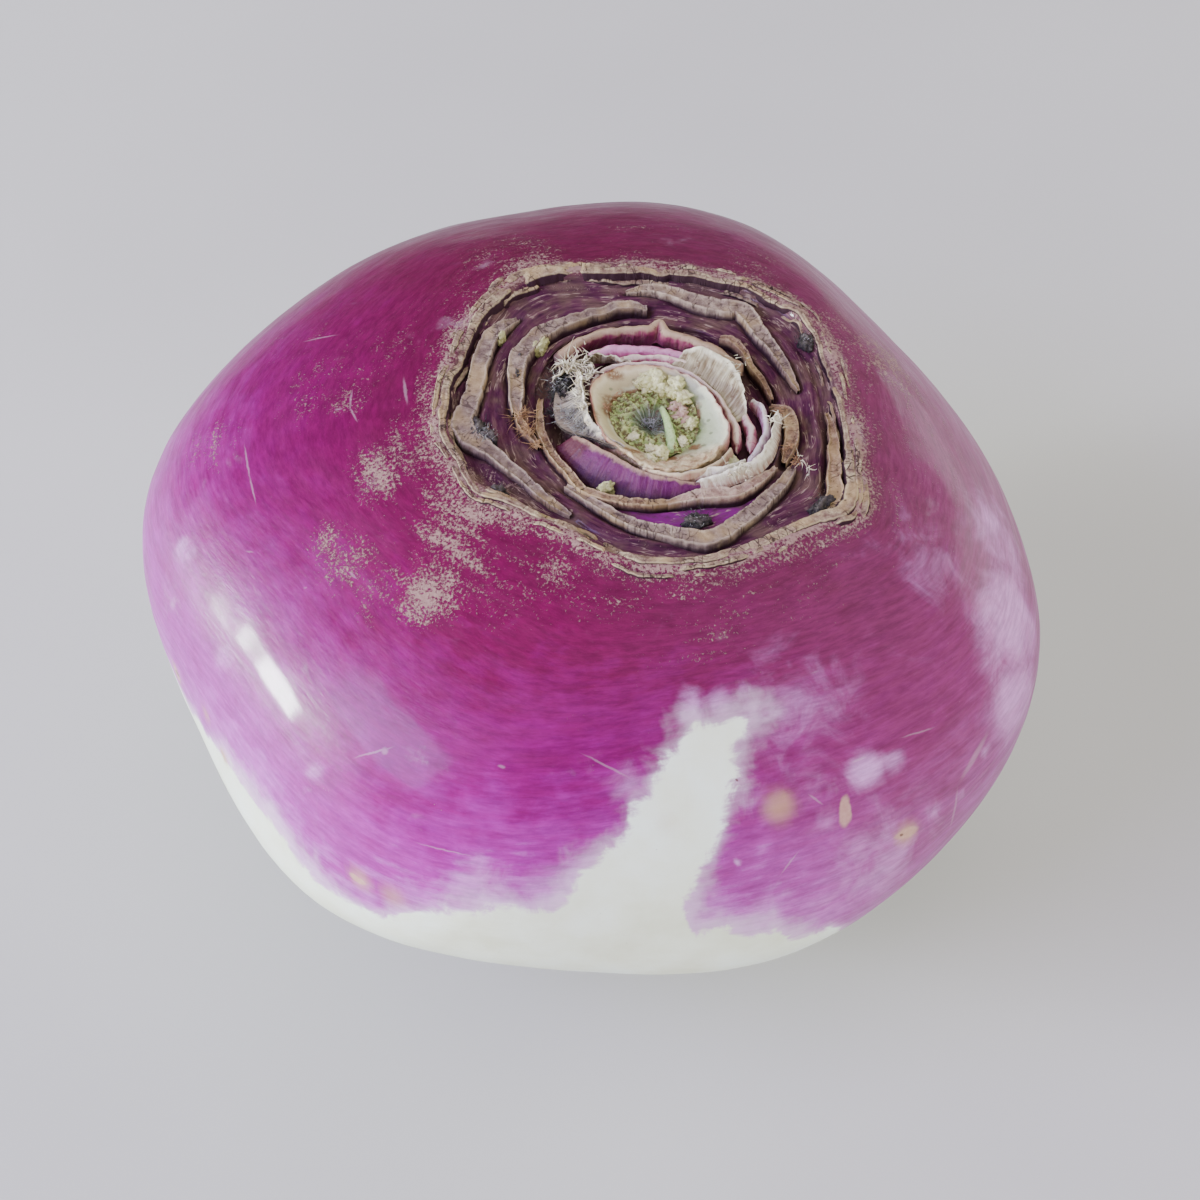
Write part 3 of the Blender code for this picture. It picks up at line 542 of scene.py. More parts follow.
# Tufts of fine fibre: middle x, y, z; how wide; how many; how long; and how far they lean outwards
TUFTS = {
    "dark_fuzz": (
        (-8.6, 4.4, 58.7, 1.3, 230, 1.0, 0.5), (-8.9, 2.2, 58.7, 1.3, 230, 1.0, 0.5),
        (-9.6, -0.4, 58.5, 0.8, 70, 0.9, 0.3), (-17.0, -2.4, 58.3, 1.0, 120, 0.7, 0.2),
        (-16.0, -3.8, 58.3, 0.9, 120, 0.7, 0.2), (-14.9, -10.8, 58.2, 0.7, 80, 0.6, 0.2),
        (4.2, -14.5, 58.5, 1.2, 150, 0.6, 0.1), (16.3, 9.8, 58.5, 1.1, 160, 0.7, 0.2),
        (16.3, -12.6, 58.5, 1.2, 150, 0.6, 0.1),
    ),
    "grey_fuzz": (
        (-8.8, 3.6, 58.9, 1.3, 60, 1.0, 0.4), (-16.4, -3.2, 58.6, 1.1, 50, 0.7, 0.2),
        (4.2, -14.5, 58.6, 1.0, 24, 0.5, 0.1), (16.3, 9.8, 58.6, 0.8, 24, 0.6, 0.2),
        (-8.0, -1.2, 59.0, 1.2, 110, 1.3, 0.0), (-7.2, -3.2, 59.3, 0.9, 60, 1.2, 0.0),
        (0.0, -1.4, 58.0, 1.0, 90, 0.7, 0.0),
    ),
    "pale_shreds": (
        (-8.2, 4.6, 60.0, 1.0, 46, 1.9, 0.3), (-6.4, 3.0, 60.0, 0.9, 50, 1.6, 0.5),
        (-6.9, 0.8, 59.9, 0.6, 36, 1.4, 0.4), (-6.6, -1.2, 59.9, 0.5, 30, 1.2, 0.4),
        (-6.4, 6.0, 60.0, 1.3, 24, 1.3, 0.3), (8.2, 4.0, 60.5, 1.4, 24, 0.9, 0.5),
        (12.3, -2.6, 59.9, 0.9, 20, 1.1, 0.2), (8.4, -9.4, 59.8, 1.6, 22, 1.0, 0.2),
        (14.6, -7.4, 59.0, 0.5, 8, 1.1, 0.2), (15.2, -8.6, 58.9, 0.4, 5, 1.1, 0.2),
    ),
    "brown_wisps": (
        (-12.6, -1.2, 58.7, 0.8, 60, 1.6, 0.0), (-12.0, -3.2, 58.7, 0.7, 50, 1.5, 0.0),
        (-11.2, -4.9, 58.6, 0.5, 26, 1.3, 0.0), (13.9, -7.4, 58.9, 0.5, 26, 1.4, 0.2),
        (12.9, -0.6, 58.8, 0.6, 24, 1.0, 0.0), (13.4, -5.6, 59.0, 0.5, 18, 1.2, 0.1),
        (-3.2, 1.0, 59.4, 0.5, 20, 0.7, 0.0), (-4.3, -0.6, 59.4, 0.4, 18, 0.7, 0.0),
    ),
}
# Half width in millimetres, colours and slot of each kind
FIBRES = {
    "dark_fuzz": (0.040, (0.010, 0.011, 0.010), (0.06, 0.055, 0.050), "papery"),
    "grey_fuzz": (0.035, (0.14, 0.13, 0.12), (0.42, 0.42, 0.40), "papery"),
    "pale_shreds": (0.085, (0.34, 0.27, 0.17), (0.74, 0.70, 0.54), "papery"),
    "brown_wisps": (0.050, (0.16, 0.075, 0.035), (0.44, 0.27, 0.14), "papery"),
    "rootlets": (0.110, (0.34, 0.24, 0.14), (0.60, 0.50, 0.34), "skin"),
}
FIBRE_STEPS = 6
FIBRE_SIDES = 3
ROOTLETS = 46
ROOTLET_Z = (0.0026, 0.0105)

# The purple shoulder's colours from the rim down, in front and on its other sides, with the clouds over it
FRONT_TONES = (
    (0.0, (0.095, 0.004, 0.034)), (0.3, (0.128, 0.002, 0.048)), (0.6, (0.19, 0.002, 0.115)),
    (0.85, (0.29, 0.014, 0.24)), (1.0, (0.44, 0.11, 0.42)),
)
SIDE_TONES = (
    ("west", 0.7, ((0.0, (0.105, 0.004, 0.052)), (0.4, (0.160, 0.004, 0.100)), (1.0, (0.38, 0.06, 0.36)))),
    ("north", 1.0, ((0.0, (0.085, 0.010, 0.028)), (0.5, (0.11, 0.009, 0.046)), (1.0, (0.27, 0.03, 0.18)))),
    # East: paler and more lilac, partly the skin's own dusty colour and partly a painted reflection of the
    # floor along the right edge
    ("east", 0.75, ((0.0, (0.13, 0.032, 0.062)), (0.5, (0.23, 0.045, 0.14)), (1.0, (0.42, 0.12, 0.38)))),
)
# The lilac of the clouds, which also paints the reflection along the edges
CLOUD_LILAC_AND_SHEEN = (0.62, 0.30, 0.62)
PORE = (0.55, 0.36, 0.46)
HAIRLINE = (0.60, 0.40, 0.52)
FRINGE = (0.72, 0.58, 0.70)
TAN_SPOT = (0.50, 0.30, 0.16)
SCRATCH = (0.52, 0.36, 0.42)
CRUST = ((0.42, 0.22, 0.14), (0.62, 0.42, 0.32))
DARK_DOT = (0.10, 0.04, 0.02)
# The belly's colours, its faint marks (spacing, width, share and strength), the tail's rings and its cut
BELLY_WHITES = ((0.3, (0.70, 0.73, 0.54)), (0.5, (0.79, 0.84, 0.68)), (0.7, (0.84, 0.92, 0.82)))
BELLY_DASHES = ((4.5, 0.060, 0.55, 0.45), (2.6, 0.045, 0.35, 0.35), (9.0, 0.035, 0.6, 0.5))
BELLY_DASH = (0.42, 0.29, 0.14)
TAIL_TONES = ((0.30, (0.16, 0.085, 0.040)), (0.48, (0.44, 0.33, 0.20)), (0.62, (0.66, 0.58, 0.42)))
CUT_TONES = ((0.35, (0.36, 0.25, 0.14)), (0.5, (0.60, 0.52, 0.36)), (0.7, (0.74, 0.69, 0.53)))
# The crown's colours: the ground between the scars, the dust and the bark by the rim
GROUND_TONES = (
    (0.30, (0.020, 0.005, 0.012)), (0.46, (0.060, 0.012, 0.034)), (0.58, (0.095, 0.030, 0.050)),
    (0.76, (0.17, 0.095, 0.085)),
)
GROUND_BROWNS = ((0.3, (0.030, 0.012, 0.014)), (0.7, (0.17, 0.10, 0.075)))
GROUND_VIOLET = (0.16, 0.010, 0.135)
GROUND_HAIR = (0.34, 0.24, 0.19)
GROUND_SHADE = (0.022, 0.010, 0.010)
POWDER = ((0.20, 0.11, 0.10), (0.42, 0.29, 0.23))
BARK_TONES = ((0.32, (0.060, 0.030, 0.028)), (0.5, (0.19, 0.12, 0.09)), (0.68, (0.36, 0.28, 0.19)))
# Cork: which scars, its dark, middle and light colours, and how strong its cracks are
CORKS = {
    "grey_cork": (GREY_SCARS, (0.115, 0.075, 0.062), (0.205, 0.145, 0.115), (0.35, 0.27, 0.20), 0.6),
    "tan_cork": (TAN_SCARS, (0.105, 0.055, 0.035), (0.235, 0.145, 0.085), (0.40, 0.29, 0.17), 0.4),
    "pink_cork": (PINK_SCARS, (0.17, 0.090, 0.075), (0.31, 0.205, 0.155), (0.46, 0.35, 0.26), 0.2),
}
RIM_CORK = ((0.10, 0.048, 0.042), (0.235, 0.160, 0.110), (0.42, 0.345, 0.205), 0.9)
CORK_WARM = (0.36, 0.25, 0.115)
CORK_NET = (0.035, 0.020, 0.018)
CORK_CRACK = (0.035, 0.020, 0.016)
# Painted shade down the sides of the cork to its foot, where it meets the ground
CORK_FOOT_SHADE = (0.030, 0.011, 0.016)
# The cup's colours from its hole out, on the left and on the right; its torn front and its outer side
CUP_FLESH = (
    (0.0, (0.14, 0.12, 0.05)), (0.10, (0.20, 0.13, 0.055)), (0.20, (0.42, 0.41, 0.26)),
    (0.34, (0.36, 0.30, 0.16)), (0.62, (0.44, 0.37, 0.21)), (0.84, (0.56, 0.48, 0.31)),
    (0.95, (0.46, 0.32, 0.19)), (1.0, (0.24, 0.11, 0.07)),
)
CUP_GREENS = (
    (0.0, (0.14, 0.19, 0.05)), (0.35, (0.34, 0.38, 0.23)), (0.75, (0.42, 0.44, 0.31)),
    (0.93, (0.50, 0.47, 0.33)), (1.0, (0.34, 0.16, 0.14)),
)
CUP_TORN = (
    (0.32, (0.16, 0.075, 0.035)), (0.46, (0.40, 0.28, 0.16)), (0.60, (0.54, 0.45, 0.28)),
    (0.76, (0.66, 0.60, 0.42)),
)
CUP_OUTSIDE = ((0.35, (0.30, 0.06, 0.11)), (0.5, (0.46, 0.20, 0.20)), (0.7, (0.56, 0.44, 0.32)))
CUP_STAIN = (0.15, 0.065, 0.024)
CUP_BRUISE = (0.22, 0.11, 0.045)
CUP_VEIN = (0.13, 0.15, 0.07)
# The growing point's colours by height, darker low down partly as painted shade, the grey rays round its pit,
# the pit's painted shade and its brown specks
HEART_TONES = (
    (0.08, (0.022, 0.030, 0.010)), (0.34, (0.075, 0.105, 0.025)), (0.58, (0.20, 0.27, 0.075)),
    (0.90, (0.46, 0.50, 0.19)),
)
HEART_RAYS = ((0.36, (0.030, 0.042, 0.022)), (0.5, (0.13, 0.16, 0.10)), (0.66, (0.34, 0.36, 0.27)))
HEART_PIT_SHADE = (0.014, 0.022, 0.010)
HEART_SPECK = (0.085, 0.040, 0.016)
# Soft lumps: dark, middle and light colours, the colour of their stains, and their least and most roughness
# Each lump's colours run from dark low down to light on top: painted shade under it and painted light over
# it, mixed with its own mottling
LUMP_COLOURS = {
    "heart_ridge": (
        (0.16, 0.27, 0.07), (0.30, 0.46, 0.15), (0.46, 0.60, 0.28), (0.24, 0.34, 0.10), (0.35, 0.55),
    ),
    "pale_crumbs": (
        (0.20, 0.17, 0.05), (0.42, 0.41, 0.17), (0.64, 0.62, 0.36), (0.20, 0.095, 0.035), (0.5, 0.75),
    ),
    "pink_crumbs": (
        (0.13, 0.050, 0.030), (0.36, 0.20, 0.15), (0.52, 0.38, 0.28), (0.12, 0.055, 0.025), (0.5, 0.75),
    ),
    "dark_buds": (
        (0.008, 0.007, 0.008), (0.022, 0.018, 0.018), (0.085, 0.070, 0.062), (0.020, 0.010, 0.012),
        (0.8, 0.95),
    ),
    "green_buds": (
        (0.10, 0.085, 0.03), (0.27, 0.25, 0.10), (0.46, 0.44, 0.23), (0.12, 0.07, 0.03), (0.6, 0.8),
    ),
}


def smooth(value, start=0.0, end=1.0):
    """0 before start, 1 after end, and an even S between. Takes numbers or arrays."""
    share = np.clip((value - start) / (end - start), 0.0, 1.0)
    return share * share * (3 - 2 * share)


def hump(value, middle, width):
    """1 at the middle, falling off evenly on both sides."""
    return np.exp(-(((value - middle) / width) ** 2))


def waves(angle, terms):
    return sum(size * np.cos(count * (angle - math.radians(faces))) for count, size, faces in terms)


class Noise:
    """Seeded gradient noise, from about -1 to 1, at an array of points."""

    def __init__(self, seed):
        draw = np.random.default_rng(seed)
        self.order = draw.permutation(256)
        slopes = draw.normal(size=(256, 3))
        self.slopes = slopes / np.linalg.norm(slopes, axis=1, keepdims=True)

    def at(self, points, size):
        """Noise whose lumps are about this size."""
        scaled = np.asarray(points) / size
        cell = np.floor(scaled).astype(int)
        local = scaled - cell
        fade = local ** 3 * (local * (local * 6 - 15) + 10)
        total = np.zeros(len(scaled))
        for corner in np.ndindex(2, 2, 2):
            index = np.zeros(len(scaled), int)
            for axis in range(3):
                index = self.order[(index + cell[:, axis] + corner[axis]) & 255]
            share = np.prod(np.where(corner, fade, 1 - fade), axis=1)
            total += share * np.sum(self.slopes[index] * (local - corner), axis=1)
        return total * 1.6

    def rough(self, points, size, octaves=3):
        return sum(self.at(points, size / 2 ** i) / 2 ** i for i in range(octaves)) / 1.5


NOISE = Noise(11)


def catmull(points, steps, closed=False):
    """A smooth line through the points, with this many steps a leg."""
    points = np.asarray(points, float)
    before, after = (points[-1:], points[:2]) if closed else (points[:1], points[-1:])
    keys = np.vstack([before, points, after])
    t = np.linspace(0, 1, steps, endpoint=False)[:, None]
    legs = []
    for p, q, r, s in zip(keys, keys[1:], keys[2:], keys[3:]):
        legs.append(0.5 * (
            2 * q + (r - p) * t + (2 * p - 5 * q + 4 * r - s) * t ** 2 + (3 * q - p - 3 * r + s) * t ** 3
        ))
    return np.vstack([*legs, keys[-2:-1]])


def respace(line, spacing):
    """The line with its points this far apart in x and y, by one number or one a point."""
    steps = np.linalg.norm(np.diff(line[:, :2], axis=0), axis=1)
    wanted = np.broadcast_to(spacing, len(line))
    count = np.concatenate([[0], np.cumsum(steps / (0.5 * (wanted[1:] + wanted[:-1])))])
    places = np.linspace(0, count[-1], int(count[-1]) + 2)
    return np.stack([np.interp(places, count, column) for column in line.T], axis=1)


def along_line(line):
    """How far along a line each of its points is."""
    return np.concatenate([[0], np.cumsum(np.linalg.norm(np.diff(line, axis=0), axis=1))])


def sideways(line):
    """The level direction square to a line at each of its points, to its right."""
    ahead = np.gradient(line[:, :2], axis=0)
    return np.column_stack([ahead[:, 1], -ahead[:, 0]]) / length_of(ahead)


def length_of(vectors):
    """The length of each vector, kept above nothing so that it can be divided by."""
    return np.maximum(np.linalg.norm(vectors, axis=-1, keepdims=True), NEXT_TO_NOTHING)


def rows_of(*values):
    """Rows with a number from each of the values, which are brought to one shape first."""
    return np.stack(np.broadcast_arrays(*values), axis=-1).reshape(-1, len(values))


def closed_outline(angle, corners):
    """The distance out at each angle on a closed outline of (degrees, distance), eased between corners."""
    degrees = np.degrees(angle) % 360
    ends = np.array([*corners, (corners[0][0] + 360, corners[0][1])])
    leg = np.clip(np.searchsorted(ends[:, 0], degrees, "right") - 1, 0, len(ends) - 2)
    near, far = ends[leg], ends[leg + 1]
    return near[:, 1] + (far[:, 1] - near[:, 1]) * smooth((degrees - near[:, 0]) / (far[:, 0] - near[:, 0]))


def superellipse(share, fullness):
    turn = share * math.pi / 2
    return np.cos(turn) ** (2 / fullness), np.sin(turn) ** (2 / fullness)


def root_profile():
    """Radius and height down the outer side, from the crown's middle to the middle of the tail's cut."""
    crown = catmull(CROWN_PROFILE, 24)
    out, up = superellipse(np.linspace(1, 0, 400), SHOULDER_FULLNESS)
    shoulder = np.stack([GIRTH_R * out, EQUATOR_Z + SHOULDER_RISE * up], axis=1)
    shoulder = shoulder[shoulder[:, 0] > CROWN_PROFILE[-1][0] + 0.001]
    out, down = superellipse(np.linspace(0, 1, 400)[1:], BELLY_FULLNESS)
    belly = np.stack([GIRTH_R * out, EQUATOR_Z - BELLY_DROP * down], axis=1)
    belly = belly[belly[:, 0] > TAIL_ROOT_R]
    root_r, root_z = belly[-1]
    fillet = [(TAIL_R + (root_r - TAIL_R) * out, root_z * up) for out, up in TAIL_FILLET]
    tail = catmull([belly[-1], *fillet, (TAIL_R, TAIL_ROUNDING), (TAIL_R - TAIL_ROUNDING, 0.0)], 24)
    cut = np.array([(TAIL_R - TAIL_ROUNDING, 0.0), (0.0, 0.0)])
    line = np.vstack([crown, shoulder, belly[:-1], tail[:-1], cut])
    out_at, spacing = np.transpose(SKIN_SPACING)
    return respace(line, np.interp(np.where(line[:, 1] > EQUATOR_Z, line[:, 0], 1.0), out_at, spacing))


def shape_root(r, z, angle):
    """Moves points of the plain turned root to their places on the real, uneven one."""
    share = smooth(z, *WAVES_BLEND_Z)
    calm = FRONT_CALM + (1 - FRONT_CALM) * smooth(np.sin(angle), *CALM_BETWEEN)
    shoulder = waves(angle, SHOULDER_WAVES) * calm * smooth(r, *WAVES_START_R) * share
    belly = waves(angle, BELLY_WAVES) * (r / GIRTH_R) ** 2 * (1 - share)
    seat, rim = closed_outline(angle, SEAT_OUTLINE), closed_outline(angle, RIM_OUTLINE)
    crown_r = np.where(r <= SEAT_R, r * seat / SEAT_R, seat + (rim - seat) * (r - SEAT_R) / (RIM_R - SEAT_R))
    beyond = r + (rim - RIM_R) * (1 - smooth(r, RIM_R, CROWN_HOLD_R[1]))
    upper = z > EQUATOR_Z
    out = np.where(upper, np.where(r <= RIM_R, crown_r, beyond), r) + shoulder + belly
    hold = (1 - smooth(r, *CROWN_HOLD_R))[:, None] * upper[:, None]
    rise = smooth((z - EQUATOR_Z) / SHOULDER_RISE)[:, None]
    fall = smooth((EQUATOR_Z - z) / BELLY_DROP)[:, None]
    middle = AXIS_AT + SHOULDER_SHIFT * rise * (1 - hold) + CROWN_AT * hold + BELLY_SHIFT * fall
    return np.column_stack([middle[:, 0] + out * np.cos(angle), middle[:, 1] + out * np.sin(angle), z])


def camera_axes():
    right = Vector((1, 0, 0))
    ahead = Vector((0, math.cos(PITCH), -math.sin(PITCH)))
    return right, right.cross(ahead), ahead


def line_of_sight(pixel):
    """From where, and which way, the photograph's camera looks through one of its pixels."""
    right, up, ahead = camera_axes()
    x, y = pixel
    half = PHOTO_SIDE / 2
    way = ahead + right * ((x - half) / PHOTO_FOCAL) + up * ((half - y) / PHOTO_FOCAL)
    return CAMERA_AIM - ahead * CAMERA_DISTANCE, way.normalized()


def add_camera():
    camera = bpy.data.objects.new("camera", bpy.data.cameras.new("camera"))
    camera.data.lens = PHOTO_FOCAL / PHOTO_SIDE * SENSOR_MM
    camera.data.sensor_width = SENSOR_MM
    camera.data.clip_start = 0.005
    _, _, ahead = camera_axes()
    camera.location = CAMERA_AIM - ahead * CAMERA_DISTANCE
    camera.rotation_euler = ahead.to_track_quat("-Z", "Y").to_euler()
    bpy.context.scene.collection.objects.link(camera)
    bpy.context.scene.camera = camera


class Paint:
    """A material whose nodes are added by short calls, each of which returns an output to feed the next."""

    def __init__(self, name, **constants):
        self.material = bpy.data.materials.new(name)
        self.material.use_nodes = True
        self.tree = self.material.node_tree
        self.shader = self.tree.nodes["Principled BSDF"]
        for key, value in constants.items():
            self.shader.inputs[key.replace("_", " ")].default_value = value
        self.place = self.node("TexCoord").outputs["Object"]

    def node(self, kind, settings=None, **inputs):
        made = self.tree.nodes.new("ShaderNode" + kind)
        for key, value in (settings or {}).items():
            setattr(made, key, value)
        for key, value in inputs.items():
            self.feed(made.inputs[key.replace("_", " ")], value)
        return made

    def feed(self, socket, value):
        if isinstance(value, bpy.types.NodeSocket):
            self.tree.links.new(value, socket)
        else:
            socket.default_value = (*value, 1) if socket.type == "RGBA" else value

    def set(self, key, value):
        self.feed(self.shader.inputs[key], value)

    def field(self, name):
        return self.node("Attribute", {"attribute_name": name}).outputs["Fac"]

    def weave(self, name):
        """A place that is stored on the mesh, for noise that is drawn out along or round it."""
        return self.node("Attribute", {"attribute_name": name}).outputs["Vector"]

    def math(self, operation, a, b=0.0, c=0.0):
        made = self.node("Math", {"operation": operation})
        for socket, value in zip(made.inputs, (a, b, c)):
            self.feed(socket, value)
        return made.outputs[0]

    def noise(self, size_mm, detail=3.0, roughness=0.55, place=None, distortion=0.0):
        """Noise from 0 to 1 whose lumps are about this size."""
        made = self.node(
            "TexNoise", None, Vector=place or self.place, Scale=1000 / size_mm, Detail=detail,
            Roughness=roughness, Distortion=distortion,
        )
        return made.outputs["Fac"]

    def wander(self, size_mm, reach_mm):
        """The place, moved about a little, so that what is drawn there gets an uneven edge."""
        made = self.node("TexNoise", None, Vector=self.place, Scale=1000 / size_mm, Detail=3.0)
        shift = self.node("VectorMath", {"operation": "SUBTRACT"})
        self.feed(shift.inputs[0], made.outputs["Color"])
        self.feed(shift.inputs[1], (0.5, 0.5, 0.5))
        moved = self.node("VectorMath", {"operation": "MULTIPLY_ADD"})
        self.feed(moved.inputs[0], shift.outputs[0])
        self.feed(moved.inputs[1], (2 * reach_mm * MM,) * 3)
        self.feed(moved.inputs[2], self.place)
        return moved.outputs[0]

    def cracks(self, size_mm, place):
        """How far it is to the edge of the nearest cell of a net of cells about this size."""
        made = self.node(
            "TexVoronoi", {"feature": "DISTANCE_TO_EDGE"}, Vector=place, Scale=1000 / size_mm, Randomness=1.0,
        )
        return made.outputs["Distance"]

    def between(self, value, start, end, low=0.0, high=1.0):
        """Eases from low to high as the value goes from start to end."""
        made = self.node("MapRange", {"interpolation_type": "SMOOTHSTEP"}, Value=value)
        for key, number in (("From Min", start), ("From Max", end), ("To Min", low), ("To Max", high)):
            self.feed(made.inputs[key], number)
        return made.outputs["Result"]

    def mix(self, share, a, b, blend="MIX"):
        made = self.node("Mix", {"data_type": "RGBA", "blend_type": blend})
        for index, value in ((0, share), (6, a), (7, b)):
            self.feed(made.inputs[index], value)
        return made.outputs[2]

    def ramp(self, share, *stops):
        made = self.node("ValToRGB", None, Fac=share)
        bands = made.color_ramp.elements
        while len(bands) < len(stops):
            bands.new(0.5)
        for band, (place, colour) in zip(bands, stops):
            band.position = place
            band.color = (*colour, 1)
        return made.outputs["Color"]

    def bump(self, height, depth_mm, over=None):
        made = self.node("Bump", None, Height=height, Strength=1.0, Distance=depth_mm * MM)
        if over:
            self.feed(made.inputs["Normal"], over)
        return made.outputs["Normal"]

    def stretched(self, place, *scale):
        return self.node("Mapping", None, Vector=place, Scale=scale).outputs[0]

    def centred(self, value, reach):
        """A value from 0 to 1, made to go from minus to plus half the reach."""
        return self.math("MULTIPLY_ADD", value, reach, -reach / 2)

    def sum(self, first, *others):
        for value in others:
            first = self.math("ADD", first, value)
        return first

    def times(self, a, b):
        return self.math("MULTIPLY", a, b)

    def dashes(self, size_mm, place, width, share):
        """1 on short marks scattered over the surface, one in this share of the places this far apart."""
        made = self.node("TexVoronoi", None, Vector=place, Scale=1000 / size_mm)
        here = self.between(made.outputs["Distance"], width * 0.5, width, 1.0, 0.0)
        drawn = self.node("SeparateColor", None, Color=made.outputs["Color"]).outputs[0]
        return self.times(here, self.math("LESS_THAN", drawn, share))

    def marks(self, place, marks, soft):
        """1 on any of the marks and 0 off them. Each is an ellipsoid: its middle, turn and half sizes."""
        total = 0.0
        for middle, turn, sizes in marks:
            local = self.node(
                "Mapping", {"vector_type": "TEXTURE"}, Vector=place, Location=middle, Rotation=turn,
                Scale=sizes,
            )
            far = self.node("VectorMath", {"operation": "LENGTH"})
            self.feed(far.inputs[0], local.outputs[0])
            here = self.between(far.outputs["Value"], 1 - soft, 1 + soft, 1.0, 0.0)
            total = self.math("MAXIMUM", total, here)
        return total

    def finish(self, colour, roughness, *bumps):
        """The finished material: its colour, its roughness, and its relief as heights and their depths."""
        normal = None
        for height, depth_mm in bumps:
            normal = self.bump(height, depth_mm, normal)
        self.set("Base Color", colour)
        self.set("Roughness", roughness)
        self.set("Normal", normal)
        return self.material


def grid_mesh(name, points, rows, columns, closed=False):
    """A sheet of quads over rows x columns points. A closed one joins its last column to its first."""
    index = np.arange(rows * columns).reshape(rows, columns)
    right = np.roll(index, -1, axis=1) if closed else index[:, 1:]
    left = index if closed else index[:, :-1]
    quads = np.stack([left[:-1], left[1:], right[1:], right[:-1]], axis=-1).reshape(-1, 4)
    mesh = bpy.data.meshes.new(name)
    mesh.from_pydata(np.asarray(points).reshape(-1, 3).tolist(), [], quads.tolist())
    return mesh


def set_field(mesh, name, values):
    values = np.asarray(values, np.float32)
    kind = "FLOAT" if values.ndim == 1 else "FLOAT_VECTOR"
    made = mesh.attributes.new(name, kind, "POINT")
    made.data.foreach_set("value" if values.ndim == 1 else "vector", values.ravel())


def weld(mesh):
    """Joins points that coincide and drops what that leaves without area."""
    made = bmesh.new()
    made.from_mesh(mesh)
    bmesh.ops.remove_doubles(made, verts=made.verts, dist=WELD_WITHIN)
    bmesh.ops.dissolve_degenerate(made, edges=made.edges, dist=WELD_WITHIN)
    made.to_mesh(mesh)
    made.free()


def add_piece(name, mesh, paint, replaces=None):
    """Adds a finished piece that rides on the root, and hides the solid that it stands for."""
    piece = bpy.data.objects.new(name, mesh)
    bpy.context.scene.collection.objects.link(piece)
    mesh.materials.append(paint)
    mesh.shade_smooth()
    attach(piece, "root")
    if replaces:
        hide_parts(replaces)


def in_world(places_mm):
    """Crown places, in metres in the turnip's own frame."""
    return (np.asarray(places_mm) + (*CROWN_MIDDLE_MM, 0.0)) * MM


class Skin:
    """The root's skin as a fine grid, with what is known about each point of it."""

    def __init__(self):
        line = root_profile()
        ring = np.arange(SKIN_SEGMENTS) * (FULL_TURN / SKIN_SEGMENTS)
        self.rows = len(line)
        self.r = np.repeat(line[:, 0], SKIN_SEGMENTS)
        self.z = np.repeat(line[:, 1], SKIN_SEGMENTS)
        self.angle = np.tile(ring, self.rows)
        self.down = np.repeat(along_line(line), SKIN_SEGMENTS)
        self.points = shape_root(self.r, self.z, self.angle)
        rim_row = np.argmax(line[:, 0] >= RIM_R)
        self.rim_down = self.down[rim_row * SKIN_SEGMENTS]
        self.tree = self.sight_tree()

    def normals(self):
        grid = self.points.reshape(self.rows, SKIN_SEGMENTS, 3)
        along = np.gradient(grid, axis=0)
        around = np.roll(grid, -1, axis=1) - np.roll(grid, 1, axis=1)
        out = np.cross(along, around).reshape(-1, 3)
        length = np.linalg.norm(out, axis=1, keepdims=True)
        ends = np.column_stack([self.z * 0, self.z * 0, np.sign(self.z - EQUATOR_Z)])
        return np.where(length > 1e-12, out / np.maximum(length, 1e-12), ends)

    def sight_tree(self):
        mesh = grid_mesh("sight", self.points, self.rows, SKIN_SEGMENTS, closed=True)
        tree = BVHTree.FromPolygons([v.co for v in mesh.vertices], [tuple(p.vertices) for p in mesh.polygons])
        bpy.data.meshes.remove(mesh)
        return tree

    def seen_at(self, pixel):
        """The point of the skin that the photograph shows at this pixel."""
        start, way = line_of_sight(pixel)
        spot, _, _, _ = self.tree.ray_cast(start, way)
        if spot is None:
            spot, _, _, _ = self.tree.find_nearest(start + way * CAMERA_DISTANCE)
        return np.array(spot)

    def height_mm(self, x, y):
        """The skin's height under a place of the crown."""
        spot, _, _, _ = self.tree.ray_cast(Vector(in_world((x, y, 70.0))), Vector((0, 0, -1)))
        return spot.z / MM

    def place_of(self, spot):
        """(angle, distance down the skin) of the grid point nearest to a spot."""
        nearest = np.argmin(np.sum((self.points - spot) ** 2, axis=1))
        return self.angle[nearest], self.down[nearest]

    def near_line(self, spots, halves_mm, choose=slice(None)):
        """How far each point lies outside a band that is drawn through spots, in millimetres."""
        points = self.points[choose]
        best = np.full(len(points), 1e3)
        for a, b, near, far in zip(spots, spots[1:], halves_mm, halves_mm[1:]):
            leg = b - a
            share = np.clip((points - a) @ leg / max(leg @ leg, 1e-12), 0, 1)
            gap = np.linalg.norm(points - a - share[:, None] * leg, axis=1) / MM
            best = np.minimum(best, gap - (near + (far - near) * share))
        return best

    def patches(self, patches, reach=1.5):
        """Soft patches, as the strength at each point."""
        total = np.zeros(len(self.points))
        for pixel, half, strength in patches:
            far = np.linalg.norm(self.points - self.seen_at(pixel), axis=1) / MM
            total = np.maximum(total, strength * (1 - smooth(far / half, 0.2, reach)))
        return total

    def mark(self, start, end, half_mm):
        """The middle, turn and half sizes of a thin mark between two pixels."""
        a, b = self.seen_at(start), self.seen_at(end)
        middle = Vector((a + b) / 2)
        _, out, _, _ = self.tree.find_nearest(middle)
        along = Vector(b - a)
        along = (along - out * along.dot(out)).normalized()
        turn = Matrix((along, out.cross(along), out)).transposed().to_euler()
        half_length = max(np.linalg.norm(b - a) / 2, half_mm * MM)
        return middle, turn, (half_length, half_mm * MM, max(half_length, half_mm * MM))


